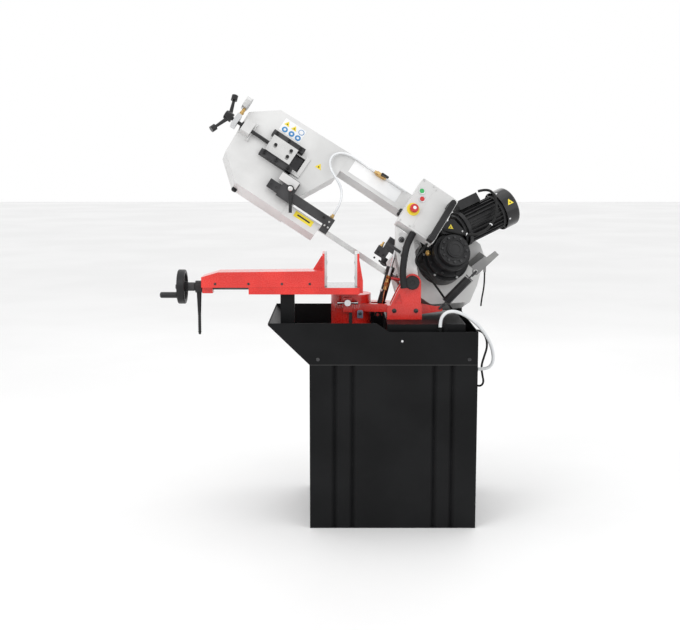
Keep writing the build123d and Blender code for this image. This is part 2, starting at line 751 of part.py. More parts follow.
# ---- hinge casting of the bow ----------------------------------------------
lug_front = -CHEEK_FRONT - CHEEK_T - LUG_GAP
lug_back = -CHEEK_BACK + CHEEK_T + LUG_GAP
HINGE_OUTLINE = [
    (-226, 168),
    (-181, 97),
    (-146, 62),
    (PIVOT_ALONG - LUG_R + 4, PIVOT_UP - 16),
    (PIVOT_ALONG, PIVOT_UP - LUG_R + 4),
    (PIVOT_ALONG + LUG_R - 4, PIVOT_UP + 8),
    (-118, 132),
    (-142, 160),
]
rear_space = BOW.offset(HOUSING_FRONT) * Pos(0, 100, -200) * Box(1200, 1200, 400)
with BuildPart() as hinge_plate:
    with BuildSketch(CUT.offset(lug_back)):
        with BuildLine():
            Polyline(*HINGE_OUTLINE, close=True)
        make_face()
        with Locations((PIVOT_ALONG, PIVOT_UP)):
            Circle(LUG_R)
            Circle(PIVOT_D / 2 + FIT, mode=Mode.SUBTRACT)
    extrude(amount=lug_front - lug_back)
    with BuildSketch(CUT.offset(-120)):
        with Locations((-130, 112)):
            Rectangle(40, 88)
    extrude(amount=lug_back + 120)
    add(rear_space, mode=Mode.SUBTRACT)
    with BuildSketch(CUT.offset(lug_front)):
        with Locations((-181, 138), (-142, 94)):
            RegularPolygon(9, 6)
    extrude(amount=7)
    with BuildSketch(Plane.XZ.offset(-FEED_Y - 12)):
        with Locations((FEED_HEAD.X, FEED_HEAD.Z)):
            Circle(FEED_PIN_R)
    extrude(amount=lug_back + FEED_Y + 13)
save(hinge_plate, "hinge_plate")

# ---- control box and drive --------------------------------------------------
BOX_LEFT, BOX_RIGHT = -235, -80
BOX_LOW, BOX_HIGH = 116, 315
BOX_BACK, BOX_FRONT = 150, 200
BUTTON_X = -207
BUTTON_R = 9
BUTTONS = {"start_button": (BUTTON_X - 8, 266), "stop_button": (BUTTON_X + 8, 240)}
ESTOP_PLACE = (BUTTON_X, 186)
ESTOP_STEM = 8
with BuildPart() as control_box:
    with BuildSketch(BOW.offset(BOX_BACK)):
        with Locations(((BOX_LEFT + BOX_RIGHT) / 2, (BOX_LOW + BOX_HIGH) / 2)):
            Rectangle(BOX_RIGHT - BOX_LEFT, BOX_HIGH - BOX_LOW)
    extrude(amount=BOX_FRONT - BOX_BACK)
    box_rim = control_box.edges().filter_by(lambda edge: abs(edge.tangent_at(0).dot(face_out)) > 0.99)
    fillet(box_rim, radius=5)
    with BuildSketch(BOW.offset(FRAME_FRONT)):
        with Locations((BOX_LEFT + 55, 268)):
            Rectangle(86, 56)
    extrude(amount=BOX_BACK - FRAME_FRONT)
    with BuildSketch(BOW.offset(BOX_FRONT - 12)):
        with Locations(*BUTTONS.values()):
            Circle(BUTTON_R + FIT)
        with Locations(ESTOP_PLACE):
            Circle(ESTOP_STEM + FIT)
    extrude(amount=12, mode=Mode.SUBTRACT)
    with BuildSketch(BOW.offset(BOX_FRONT)):
        with Locations(ESTOP_PLACE):
            Circle(22)
            Circle(17, mode=Mode.SUBTRACT)
    extrude(amount=3)
save(control_box, "control_box")

for button, place in BUTTONS.items():
    with BuildPart() as push:
        with BuildSketch(BOW.offset(BOX_FRONT - 8)):
            with Locations(place):
                Circle(BUTTON_R)
        extrude(amount=12)
    save(push, button)

with BuildPart() as estop_button:
    with BuildSketch(BOW.offset(BOX_FRONT - 4)):
        with Locations(ESTOP_PLACE):
            Circle(ESTOP_STEM)
    extrude(amount=14)
    with BuildSketch(BOW.offset(BOX_FRONT + 10)):
        with Locations(ESTOP_PLACE):
            Circle(16)
    extrude(amount=12)
    fillet(estop_button.faces().sort_by(lambda face: face.center().dot(face_out))[-1].edges(), radius=4)
save(estop_button, "estop_button")

HANDLE_X, HANDLE_LOW, HANDLE_HIGH = -98, 122, 268
with BuildPart() as grab_handle:
    with BuildSketch(BOW.offset(BOX_FRONT)):
        with Locations((HANDLE_X, HANDLE_LOW), (HANDLE_X, HANDLE_HIGH)):
            Rectangle(22, 22)
    extrude(amount=38)
    with BuildSketch(BOW.offset(BOX_FRONT + 26)):
        with Locations((HANDLE_X, (HANDLE_LOW + HANDLE_HIGH) / 2)):
            SlotOverall(HANDLE_HIGH - HANDLE_LOW + 40, 22, rotation=90)
    extrude(amount=20)
save(grab_handle, "grab_handle")

worm_dir = Vector(sin(radians(WORM_ANGLE)), cos(radians(WORM_ANGLE)))
worm_foot = Vector(-cos(radians(WORM_ANGLE)), sin(radians(WORM_ANGLE))) * WORM_OFFSET + Vector(0, AXLE_Y)


def on_worm(distance, side=0, height=MOTOR_H):
    """World point beside the worm's axis at a distance along it."""
    across = Vector(-worm_dir.Y, worm_dir.X)
    place = worm_foot + worm_dir * distance + across * side
    return in_bow(place.X, place.Y, height)


motor_axis = (on_worm(1) - on_worm(0)).normalized()


def worm_plane(distance):
    """Plane across the worm's axis, with its local y toward the operator."""
    side = motor_axis.cross(face_out)
    return Plane(origin=on_worm(distance), x_dir=side, z_dir=motor_axis)


GEAR_STEPS = [(91, HOUSING_FRONT, 100), (82, 100, 126), (66, 126, 150), (70, 150, 172), (58, 172, 198)]
GEAR_ROOM, GEAR_ROOM_LOW, GEAR_ROOM_HIGH = 50, 82, 118
SHAFT_R = 17.5
with BuildPart() as gearbox:
    for radius, low, high in GEAR_STEPS:
        with BuildSketch(BOW.offset(low)):
            with Locations((0, AXLE_Y)):
                Circle(radius)
        extrude(amount=high - low)
    with BuildSketch(BOW.offset(198)):
        with Locations((0, AXLE_Y)):
            Circle(30)
    extrude(amount=6)
    with BuildSketch(BOW.offset(198)):
        with Locations((0, AXLE_Y)):
            with PolarLocations(47, 12):
                RegularPolygon(5, 6)
    extrude(amount=4)
    with BuildSketch(worm_plane(-48)):
        Circle(42)
    extrude(amount=MOTOR_START + 48)
    with BuildSketch(worm_plane(MOTOR_START - 12)):
        Circle(60)
    extrude(amount=12)
    with BuildSketch(BOW.offset(GEAR_ROOM_LOW)):
        with Locations((0, AXLE_Y)):
            Circle(GEAR_ROOM)
    extrude(amount=GEAR_ROOM_HIGH - GEAR_ROOM_LOW, mode=Mode.SUBTRACT)
    with BuildSketch(BOW.offset(HOUSING_FRONT)):
        with Locations((0, AXLE_Y)):
            Circle(SHAFT_R + FIT)
    extrude(amount=GEAR_ROOM_HIGH + 16 - HOUSING_FRONT, mode=Mode.SUBTRACT)
    with BuildSketch(worm_plane(-36)):
        Circle(25)
    extrude(amount=72, mode=Mode.SUBTRACT)
    with BuildSketch(worm_plane(-44)):
        Circle(10 + FIT)
    extrude(amount=MOTOR_START + 50, mode=Mode.SUBTRACT)
save(gearbox, "gearbox")

FIN_COUNT = 24
MOTOR_CORE = MOTOR_D / 2 - 9
with BuildPart() as motor:
    with BuildSketch(worm_plane(MOTOR_START)):
        Circle(MOTOR_D / 2 + 4)
        Circle(10 + FIT, mode=Mode.SUBTRACT)
    extrude(amount=14)
    with BuildSketch(worm_plane(MOTOR_START + 14)):
        Circle(MOTOR_CORE)
        with PolarLocations(MOTOR_CORE + 2, FIN_COUNT):
            Rectangle(14, 3)
        Circle(MOTOR_CORE - 6, mode=Mode.SUBTRACT)
    extrude(amount=MOTOR_LENGTH - 26)
    with BuildSketch(worm_plane(MOTOR_START + MOTOR_LENGTH - 12)):
        Circle(MOTOR_D / 2 + 1)
        Circle(10 + FIT, mode=Mode.SUBTRACT)
    extrude(amount=12)
    terminal_plane = Plane(origin=on_worm(MOTOR_START + 65, MOTOR_CORE + 2), x_dir=motor_axis, z_dir=face_out)
    with BuildSketch(terminal_plane.offset(-20)):
        with Locations((0, 18)):
            Rectangle(92, 36)
    extrude(amount=66)
save(motor, "motor")

fan_start = MOTOR_START + MOTOR_LENGTH
with BuildPart() as fan_cover:
    with BuildSketch(worm_plane(fan_start)):
        Circle(FAN_D / 2)
    extrude(amount=FAN_LENGTH)
    fillet(fan_cover.faces().sort_by(lambda face: face.center().dot(motor_axis))[-1].edges(), radius=12)
    with BuildSketch(worm_plane(fan_start)):
        Circle(FAN_D / 2 - 2)
    extrude(amount=FAN_LENGTH - 16, mode=Mode.SUBTRACT)
    with BuildSketch(worm_plane(fan_start + FAN_LENGTH - 16)):
        for ring in (18, 32, 46):
            with PolarLocations(ring, 18):
                Rectangle(8, 2.4)
    extrude(amount=16, mode=Mode.SUBTRACT)
    with BuildSketch(worm_plane(fan_start)):
        with PolarLocations(FAN_D / 2 - 5, 4):
            Rectangle(10, 8)
    extrude(amount=8)
save(fan_cover, "fan_cover")

with BuildPart() as motor_rotor:
    with BuildSketch(worm_plane(-40)):
        Circle(10)
    extrude(amount=fan_start + 30 + 40)
    with BuildSketch(worm_plane(-24)):
        Circle(WORM_OFFSET - GEAR_ROOM + 1.5)
    extrude(amount=48)
    with BuildSketch(worm_plane(MOTOR_START + 26)):
        Circle(MOTOR_CORE - 20)
    extrude(amount=MOTOR_LENGTH - 50)
    with BuildSketch(worm_plane(fan_start + 8)):
        Circle(20)
        with PolarLocations(38, 8):
            Rectangle(46, 4)
    extrude(amount=22)
save(motor_rotor, "motor_rotor")

with BuildPart() as drive_wheel:
    with BuildSketch(BOW.offset(-WHEEL_W / 2)):
        with Locations((0, AXLE_Y)):
            Circle(RIM_R)
            Circle(WHEEL_R - 14, mode=Mode.SUBTRACT)
    extrude(amount=WHEEL_W)
    with BuildSketch(BOW.offset(-6)):
        with Locations((0, AXLE_Y)):
            Circle(WHEEL_R - 10)
            with PolarLocations(82, 6):
                Circle(22, mode=Mode.SUBTRACT)
    extrude(amount=12)
    with BuildSketch(BOW.offset(-WHEEL_W / 2)):
        with Locations((0, AXLE_Y)):
            Circle(32)
    extrude(amount=HOUSING_FRONT - PLATE - 2 + WHEEL_W / 2)
    with BuildSketch(BOW.offset(HOUSING_FRONT - PLATE - 4)):
        with Locations((0, AXLE_Y)):
            Circle(SHAFT_R)
    extrude(amount=GEAR_ROOM_HIGH + 14 - HOUSING_FRONT + PLATE + 4)
    with BuildSketch(BOW.offset(GEAR_ROOM_LOW + 4)):
        with Locations((0, AXLE_Y)):
            Circle(GEAR_ROOM - 2)
            with PolarLocations(GEAR_ROOM - 2, 36):
                Rectangle(5, 3, mode=Mode.SUBTRACT)
    extrude(amount=GEAR_ROOM_HIGH - GEAR_ROOM_LOW - 8)
save(drive_wheel, "drive_wheel")

# ---- blade -------------------------------------------------------------------
TWIST_LEFT = (25 - SPACING, -470)
TWIST_RIGHT = (-165, -12)
TWIST_STEPS = 8


def blade_section(x, share):
    """Plane across the blade, turned by a share of the lean from wheel to guide."""
    turn = radians((90 - BOW_LEAN) * share)
    width_dir = face_out * cos(turn) + (upward - face_out * sin(radians(BOW_LEAN))).normalized() * sin(turn)
    return Plane(origin=in_bow(x, 0, 0), x_dir=width_dir, z_dir=along)


def blade_run(start, end, share_start, share_end, steps):
    """Straight run of blade whose section turns evenly from one share to another."""
    with BuildPart() as run:
        for step in range(steps + 1):
            part_way = step / steps
            place = start + (end - start) * part_way
            share = share_start + (share_end - share_start) * part_way
            with BuildSketch(blade_section(place, share)):
                Rectangle(BLADE_W, BLADE_T)
        loft(ruled=True)
    return run


idler_x = -SPACING
runs = [
    blade_run(TWIST_LEFT[0], TWIST_LEFT[1], 0, 1, TWIST_STEPS),
    blade_run(TWIST_LEFT[1], TWIST_RIGHT[0], 1, 1, 1),
    blade_run(TWIST_RIGHT[0], TWIST_RIGHT[1], 1, 0, TWIST_STEPS),
]
with BuildPart() as blade:
    with BuildSketch(BOW.offset(-BLADE_W / 2)):
        with Locations((idler_x / 2, AXLE_Y)):
            SlotCenterToCenter(SPACING, 2 * WHEEL_R + BLADE_T)
            SlotCenterToCenter(SPACING, 2 * WHEEL_R - BLADE_T, mode=Mode.SUBTRACT)
        with Locations(((TWIST_LEFT[0] + TWIST_RIGHT[1]) / 2, 0)):
            Rectangle(TWIST_RIGHT[1] - TWIST_LEFT[0], 4, mode=Mode.SUBTRACT)
    extrude(amount=BLADE_W)
    for run in runs:
        add(run.part)
save(blade, "blade")

# ---- blade tension -----------------------------------------------------------
GIB_LEFT, GIB_RIGHT = -793, -655
gib_low = BLOCK_Y - BLOCK_W / 2 - SLIDE_FIT
gib_high = BLOCK_Y + BLOCK_W / 2 + SLIDE_FIT
gib_places = [
    ((GIB_LEFT + GIB_RIGHT) / 2, gib_low - GIB_W / 2),
    ((GIB_LEFT + GIB_RIGHT) / 2, gib_high + GIB_W / 2),
]
with BuildPart() as slide_gibs:
    with BuildSketch(BOW.offset(FRAME_FRONT)):
        with Locations(*gib_places):
            Rectangle(GIB_RIGHT - GIB_LEFT, GIB_W)
    extrude(amount=GIB_T)
    with BuildSketch(BOW.offset(FRAME_FRONT + GIB_T)):
        with Locations(*gib_places):
            with GridLocations(52, 1, 3, 1):
                Circle(5.5)
    extrude(amount=3)
save(slide_gibs, "slide_gibs")

BLOCK_LEFT, BLOCK_RIGHT = -783, -676
BLOCK_FRONT = FRAME_FRONT + 28
TENSION_H = FRAME_FRONT + 13
AXLE_D = 25
with BuildPart() as tension_block:
    with BuildSketch(BOW.offset(FRAME_FRONT + SLIDE_FIT)):
        with Locations(((BLOCK_LEFT + BLOCK_RIGHT) / 2, BLOCK_Y)):
            Rectangle(BLOCK_RIGHT - BLOCK_LEFT, BLOCK_W)
    extrude(amount=BLOCK_FRONT - FRAME_FRONT - SLIDE_FIT)
    with BuildSketch(BOW.offset(-WHEEL_W / 2 - 6)):
        with Locations((idler_x, AXLE_Y)):
            Circle(AXLE_D / 2)
    extrude(amount=FRAME_FRONT + SLIDE_FIT + WHEEL_W / 2 + 6)
    with BuildSketch(BOW.offset(BLOCK_FRONT)):
        with Locations((-757, BLOCK_Y), (-697, BLOCK_Y + 14), (-697, BLOCK_Y - 14)):
            Circle(6)
    extrude(amount=4)
    with BuildSketch(BOW.offset(-WHEEL_W / 2 - 6)):
        with Locations((idler_x, AXLE_Y)):
            Circle(AXLE_D / 2 + 5)
    extrude(amount=4)
save(tension_block, "tension_block")

with BuildPart() as idler_wheel:
    with BuildSketch(BOW.offset(-WHEEL_W / 2)):
        with Locations((idler_x, AXLE_Y)):
            Circle(RIM_R)
            Circle(WHEEL_R - 14, mode=Mode.SUBTRACT)
    extrude(amount=WHEEL_W)
    with BuildSketch(BOW.offset(-6)):
        with Locations((idler_x, AXLE_Y)):
            Circle(WHEEL_R - 10)
            with PolarLocations(82, 6):
                Circle(22, mode=Mode.SUBTRACT)
    extrude(amount=12)
    with BuildSketch(BOW.offset(-WHEEL_W / 2 + 0.5)):
        with Locations((idler_x, AXLE_Y)):
            Circle(32)
    extrude(amount=WHEEL_W)
    with BuildSketch(BOW.offset(-WHEEL_W / 2)):
        with Locations((idler_x, AXLE_Y)):
            Circle(AXLE_D / 2 + FIT)
    extrude(amount=2 * WHEEL_W, mode=Mode.SUBTRACT)
save(idler_wheel, "idler_wheel")

SCREW_ROD_R = 7
BRACKET_LEFT, BRACKET_RIGHT = -898, -860
NUT_RIM = 7
along_screw = Plane(origin=in_bow(0, BLOCK_Y, TENSION_H), x_dir=BOW.y_dir, z_dir=along)
with BuildPart() as tension_bracket:
    with BuildSketch(BOW.offset(FRAME_FRONT)):
        with Locations(((BRACKET_LEFT + BRACKET_RIGHT) / 2, BLOCK_Y)):
            Rectangle(BRACKET_RIGHT - BRACKET_LEFT, 50)
    extrude(amount=34)
    with BuildSketch(along_screw.offset(BRACKET_LEFT - NUT_RIM)):
        Circle(12)
    extrude(amount=NUT_RIM)
    with BuildSketch(along_screw.offset(BRACKET_LEFT - NUT_RIM)):
        Circle(SCREW_ROD_R + FIT)
    extrude(amount=BRACKET_RIGHT - BRACKET_LEFT + NUT_RIM, mode=Mode.SUBTRACT)
save(tension_bracket, "tension_bracket")

HUB_X = -975
ARM_REACH = 72
with BuildPart() as tension_handle:
    with BuildSketch(along_screw.offset(HUB_X + 6)):
        Circle(SCREW_ROD_R)
    extrude(amount=BLOCK_LEFT - 1 - HUB_X - 6)
    with BuildSketch(along_screw.offset(HUB_X)):
        Circle(17)
    extrude(amount=30)
    for side in (-1, 1):
        arm_root = along_screw.from_local_coords(Vector(side * 8, 0, HUB_X + 16))
        arm_tip = along_screw.from_local_coords(Vector(side * ARM_REACH, 0, HUB_X - 6))
        with BuildSketch(line_plane(arm_root, arm_tip)):
            Circle(8)
        with BuildSketch(Plane(origin=arm_tip, z_dir=(arm_tip - arm_root))):
            Circle(5)
        loft()
        with BuildSketch(line_plane(arm_tip, arm_tip * 2 - arm_root, -8)):
            Circle(12)
        extrude(amount=20)
save(tension_handle, "tension_handle")

GAUGE_R = 27
gauge_block_plane = along_screw.offset(-938)
with BuildPart() as pressure_gauge:
    with BuildSketch(gauge_block_plane):
        Rectangle(48, 44)
        Circle(SCREW_ROD_R + FIT, mode=Mode.SUBTRACT)
    extrude(amount=19)
    neck_plane = Plane(origin=in_bow(-928, BLOCK_Y + 22, TENSION_H), x_dir=along, z_dir=BOW.y_dir)
    with BuildSketch(neck_plane):
        Circle(6)
    extrude(amount=38)
    with BuildSketch(Plane(origin=in_bow(-942, BLOCK_Y + 84, TENSION_H), x_dir=BOW.y_dir, z_dir=along)):
        Circle(GAUGE_R)
    extrude(amount=21)
save(pressure_gauge, "pressure_gauge")

# ---- blade guides --------------------------------------------------------------
HOLDER_LEFT, HOLDER_RIGHT = -655, -600
HOLDER_LOW, HOLDER_HIGH = 18, 96
front_space = BOW.offset(FRAME_FRONT) * Pos(-500, 100, -200) * Box(1200, 1200, 400)
with BuildPart() as guide_holder:
    with BuildSketch(CUT.offset(-60)):
        with Locations(((HOLDER_LEFT + HOLDER_RIGHT) / 2, (HOLDER_LOW + HOLDER_HIGH) / 2)):
            Rectangle(HOLDER_RIGHT - HOLDER_LEFT, HOLDER_HIGH - HOLDER_LOW)
        with Locations((HOLDER_LEFT + 14, HOLDER_HIGH - 8)):
            Rectangle(72, 30)
    extrude(amount=60 + BAR_FRONT + 8)
    add(front_space, mode=Mode.SUBTRACT)
    with BuildSketch(CUT.offset(BAR_BACK - SLIDE_FIT)):
        with Locations(((BAR_LEFT + BAR_RIGHT) / 2, (BAR_LOW + BAR_HIGH) / 2)):
            Rectangle(BAR_RIGHT - BAR_LEFT + 200, BAR_HIGH - BAR_LOW + 2 * SLIDE_FIT)
    extrude(amount=BAR_FRONT - BAR_BACK + 2 * SLIDE_FIT, mode=Mode.SUBTRACT)
    with BuildSketch(CUT.offset(BAR_FRONT + SLIDE_FIT)):
        with Locations((-622, 68)):
            Circle(8 + FIT)
    extrude(amount=8, mode=Mode.SUBTRACT)
save(guide_holder, "guide_holder")

LEVER_AT = (-622, 68)
LEVER_TIP = (-574, -6)
lever_face = BAR_FRONT + 8.5
with BuildPart() as guide_lever:
    with BuildSketch(CUT.offset(BAR_FRONT + 1)):
        with Locations(LEVER_AT):
            Circle(8)
    extrude(amount=8)
    with BuildSketch(CUT.offset(lever_face)):
        with Locations(LEVER_AT):
            Circle(13)
    extrude(amount=12)
    lever_root = in_cut(*LEVER_AT, lever_face + 6)
    lever_end = in_cut(*LEVER_TIP, lever_face + 12)
    with BuildSketch(line_plane(lever_root, lever_end)):
        Circle(5)
    with BuildSketch(line_plane(lever_end, lever_end * 2 - lever_root)):
        Circle(6.5)
    loft()
save(guide_lever, "guide_lever")

HEAD_LEFT, HEAD_RIGHT = -452, -421
SLOT_HALF = 6

with BuildPart() as guide_arm:
    with BuildSketch(CUT.offset(BAR_BACK)):
        with Locations(((BAR_LEFT + BAR_RIGHT) / 2, (BAR_LOW + BAR_HIGH) / 2)):
            Rectangle(BAR_RIGHT - BAR_LEFT, BAR_HIGH - BAR_LOW)
    extrude(amount=BAR_FRONT - BAR_BACK)
    with BuildSketch(CUT.offset(-24)):
        with Locations(((HEAD_LEFT + HEAD_RIGHT) / 2, 27)):
            Rectangle(HEAD_RIGHT - HEAD_LEFT, 62)
    extrude(amount=BAR_BACK + 24)
    with BuildSketch(CUT.offset(-SLOT_HALF)):
        with Locations(((HEAD_LEFT + HEAD_RIGHT) / 2, 3)):
            Rectangle(HEAD_RIGHT - HEAD_LEFT, 18)
    extrude(amount=2 * SLOT_HALF, mode=Mode.SUBTRACT)
    nozzle_plane = Plane(origin=in_cut((HEAD_LEFT + HEAD_RIGHT) / 2, 58, 22), x_dir=along, z_dir=upward)
    with BuildSketch(nozzle_plane):
        Circle(5)
    extrude(amount=16)
save(guide_arm, "guide_arm")

GUARD_LEFT, GUARD_RIGHT = -600, -456
GUARD_FRONT = FRAME_FRONT + 1
GUARD_LOW = -51
with BuildPart() as blade_guard:
    with BuildSketch(BOW.offset(FRAME_BACK)):
        with Locations(((GUARD_LEFT + GUARD_RIGHT) / 2, GUARD_LOW)):
            Rectangle(GUARD_RIGHT - GUARD_LEFT, SHEET)
    extrude(amount=GUARD_FRONT + SHEET - FRAME_BACK)
    with BuildSketch(BOW.offset(GUARD_FRONT)):
        with Locations(((GUARD_LEFT + GUARD_RIGHT) / 2, (GUARD_LOW - 2) / 2)):
            Rectangle(GUARD_RIGHT - GUARD_LEFT, -2 - GUARD_LOW)
    extrude(amount=SHEET)
    with BuildSketch(CUT.offset(36)):
        with Locations((GUARD_RIGHT + 2, 6)):
            Rectangle(4, 20)
    extrude(amount=7.5)
save(blade_guard, "blade_guard")

with BuildPart() as fixed_guide:
    with BuildSketch(CUT.offset(-24)):
        with Locations((-209, 38)):
            Rectangle(46, 70)
    extrude(amount=40)
    with BuildSketch(CUT.offset(-3)):
        with Locations((-209, 6)):
            Rectangle(46, 22)
    extrude(amount=6, mode=Mode.SUBTRACT)
    with BuildSketch(CUT.offset(-24)):
        with Locations((-183, 96)):
            Rectangle(60, 50)
    extrude(amount=24 + 10)
    with BuildSketch(CUT.offset(-24)):
        with Locations((-160, 104)):
            Rectangle(20, 34)
    extrude(amount=24 + 10)
    add(rear_space, mode=Mode.SUBTRACT)
save(fixed_guide, "fixed_guide")

# ---- spring, feed cylinder and small fittings ------------------------------------
MOTOR_CABLE_TOP = Vector(343, SPRING_Y, 915)
with BuildPart() as spring_arm:
    with BuildSketch(Plane.XZ.offset(-SPRING_Y - 4)):
        with BuildLine():
            Polyline(
                (SPRING_HEAD.X - 9, SPRING_HEAD.Z - 9),
                (SPRING_HEAD.X + 9, SPRING_HEAD.Z - 9),
                (SPRING_HEAD.X + 84, SPRING_HEAD.Z + 62),
                (SPRING_HEAD.X + 70, SPRING_HEAD.Z + 76),
                (SPRING_HEAD.X - 12, SPRING_HEAD.Z + 12),
                close=True,
            )
        make_face()
        with Locations((SPRING_HEAD.X, SPRING_HEAD.Z)):
            Circle(HOOK_PIN_R + HOOK_PLAY + 5)
            Circle(HOOK_PIN_R + HOOK_PLAY, mode=Mode.SUBTRACT)
    extrude(amount=8)
    with BuildSketch(Plane.XZ.offset(-100)):
        with BuildLine():
            Polyline(
                (SPRING_HEAD.X - 12, SPRING_HEAD.Z + 12),
                (SPRING_HEAD.X + 40, SPRING_HEAD.Z + 52),
                (SPRING_HEAD.X + 34, SPRING_HEAD.Z + 58),
                (SPRING_HEAD.X - 18, SPRING_HEAD.Z + 18),
                close=True,
            )
        make_face()
    extrude(amount=100 - SPRING_Y + 4)
    add(rear_space, mode=Mode.SUBTRACT)
    with BuildSketch(Plane.XY.offset(MOTOR_CABLE_TOP.Z)):
        with Locations((MOTOR_CABLE_TOP.X, MOTOR_CABLE_TOP.Y)):
            Circle(5)
    extrude(amount=20)
save(spring_arm, "spring_arm")

spring_run = SPRING_HEAD - SPRING_FOOT
spring_start = (spring_run.length - SPRING_COIL) / 2
WIRE = 5
with BuildPart() as counter_spring:
    with BuildSketch(line_plane(SPRING_FOOT, SPRING_HEAD, spring_start)):
        Circle(SPRING_D / 2)
        Circle(SPRING_D / 2 - WIRE, mode=Mode.SUBTRACT)
    extrude(amount=SPRING_COIL)
save(counter_spring, "counter_spring")


LINK = 20


def spring_hook(eye, toward, name):
    """Hook from an anchor eye to the end of the spring's coil, with an offset link."""
    aim = (toward - eye).normalized()
    link_mid = eye + aim * (LINK / 2)
    link_end = eye + aim * LINK
    link_plane = Plane(origin=(link_mid.X, SPRING_Y - 5, link_mid.Z), x_dir=aim, z_dir=front)
    with BuildPart() as hook:
        with BuildSketch(line_plane(eye, toward, LINK)):
            Circle(WIRE / 2)
        extrude(amount=spring_start - LINK - 3.3)
        with BuildSketch(line_plane(eye, toward, spring_start - 3.3)):
            Circle(SPRING_D / 2)
        extrude(amount=3)
        with BuildSketch(Plane.XZ.offset(-SPRING_Y - 6)):
            with Locations((eye.X, eye.Z)):
                Circle(HOOK_PIN_R)
        extrude(amount=15)
        with BuildSketch(link_plane):
            SlotCenterToCenter(LINK, 9)
        extrude(amount=4)
        with BuildSketch(Plane.XZ.offset(-SPRING_Y - 3)):
            with Locations((link_end.X, link_end.Z)):
                Circle(3)
        extrude(amount=12)
    save(hook, name)


spring_hook(SPRING_FOOT, SPRING_HEAD, "lower_spring_hook")
spring_hook(SPRING_HEAD, SPRING_FOOT, "upper_spring_hook")

feed_run = FEED_HEAD - FEED_FOOT
FEED_BODY = 175
ROD_START = 40
with BuildPart() as feed_cylinder:
    with BuildSketch(Plane.XZ.offset(-FEED_Y - 6)):
        with Locations((FEED_FOOT.X, FEED_FOOT.Z)):
            Circle(11)
    extrude(amount=12)
    with BuildSketch(line_plane(FEED_FOOT, FEED_HEAD, 8)):
        Circle(FEED_D / 2)
    extrude(amount=FEED_BODY)
    with BuildSketch(Plane.XZ.offset(-FEED_Y - 20)):
        with Locations((FEED_FOOT.X, FEED_FOOT.Z)):
            Circle(6 + FIT)
    extrude(amount=40, mode=Mode.SUBTRACT)
    with BuildSketch(line_plane(FEED_FOOT, FEED_HEAD, ROD_START)):
        Circle(FEED_ROD_D / 2 + FIT)
    extrude(amount=FEED_BODY, mode=Mode.SUBTRACT)
save(feed_cylinder, "feed_cylinder")

with BuildPart() as feed_rod:
    with BuildSketch(line_plane(FEED_FOOT, FEED_HEAD, ROD_START + 76)):
        Circle(FEED_ROD_D / 2)
    extrude(amount=feed_run.length - ROD_START - 76 - 6)
    with BuildSketch(Plane.XZ.offset(-FEED_Y - 6)):
        with Locations((FEED_HEAD.X, FEED_HEAD.Z)):
            Circle(11)
    extrude(amount=12)
    with BuildSketch(Plane.XZ.offset(-FEED_Y - 20)):
        with Locations((FEED_HEAD.X, FEED_HEAD.Z)):
            Circle(FEED_PIN_R + FEED_PLAY)
    extrude(amount=40, mode=Mode.SUBTRACT)
save(feed_rod, "feed_rod")

VALVE_LEFT, VALVE_RIGHT = -385, -350
VALVE_Y, VALVE_H = 298, FRAME_FRONT + 6.5
VALVE_R = 9
TAP_X = -362
with BuildPart() as coolant_valve:
    with BuildSketch(Plane(origin=in_bow(VALVE_LEFT, VALVE_Y, VALVE_H + 3), x_dir=BOW.y_dir, z_dir=along)):
        Circle(VALVE_R)
    extrude(amount=VALVE_RIGHT - VALVE_LEFT)
    with BuildSketch(BOW.offset(VALVE_H + 3)):
        with Locations((TAP_X, VALVE_Y)):
            Circle(7)
    extrude(amount=VALVE_R + 2)
    with BuildSketch(BOW.offset(FRAME_FRONT)):
        with Locations(((VALVE_LEFT + VALVE_RIGHT) / 2, VALVE_Y)):
            Rectangle(22, 14)
    extrude(amount=6)
    add(front_space, mode=Mode.SUBTRACT)
save(coolant_valve, "coolant_valve")

tap_face = VALVE_H + 3 + VALVE_R + 2
with BuildPart() as coolant_tap:
    with BuildSketch(BOW.offset(tap_face + 0.3)):
        with Locations((TAP_X, VALVE_Y)):
            Circle(5)
    extrude(amount=8)
    with BuildSketch(BOW.offset(tap_face + 5)):
        with Locations((TAP_X + 9, VALVE_Y)):
            SlotOverall(32, 9)
    extrude(amount=6)
save(coolant_tap, "coolant_tap")

# ---- cords: each is straight runs joined by tangent arcs -------------------------
HOSE_D = 12
CLEAR_D = 9
CONDUIT_D = 26
CABLE_D = 8
MOTOR_CABLE_D = 6
COIL_CENTRE = (60, 400)
COIL_MID_R = 45
COIL_W = 24
COIL_STUB = 70
PLUG_L, PLUG_W, PLUG_H = 50, 36, 28


def bend_radii(points):
    """Largest arc that each corner's two runs allow."""
    radii = []
    for before, here, after in zip(points, points[1:], points[2:]):
        turn = (here - before).get_angle(after - here)
        shorter = min((here - before).length, (after - here).length)
        radii.append(0.45 * shorter / tan(radians(turn / 2)))
    return radii


def cord(points, diameter, name):
    """Round cord along a hand-chosen route, given as world points."""
    route = [Vector(*point) for point in points]
    radii = bend_radii(route)
    with BuildPart() as tube:
        with BuildLine() as path:
            FilletPolyline(*route, radius=radii)
        with BuildSketch(Plane(origin=route[0], z_dir=route[1] - route[0])):
            Circle(diameter / 2)
        sweep(path=path.wires()[0])
    expected = pi * diameter**2 / 4 * path.wires()[0].length
    print(name, "length", round(path.wires()[0].length), "volume ratio", round(tube.part.volume / expected, 4))
    print("  radii in diameters", [round(radius / diameter, 1) for radius in radii])
    save(tube, name)


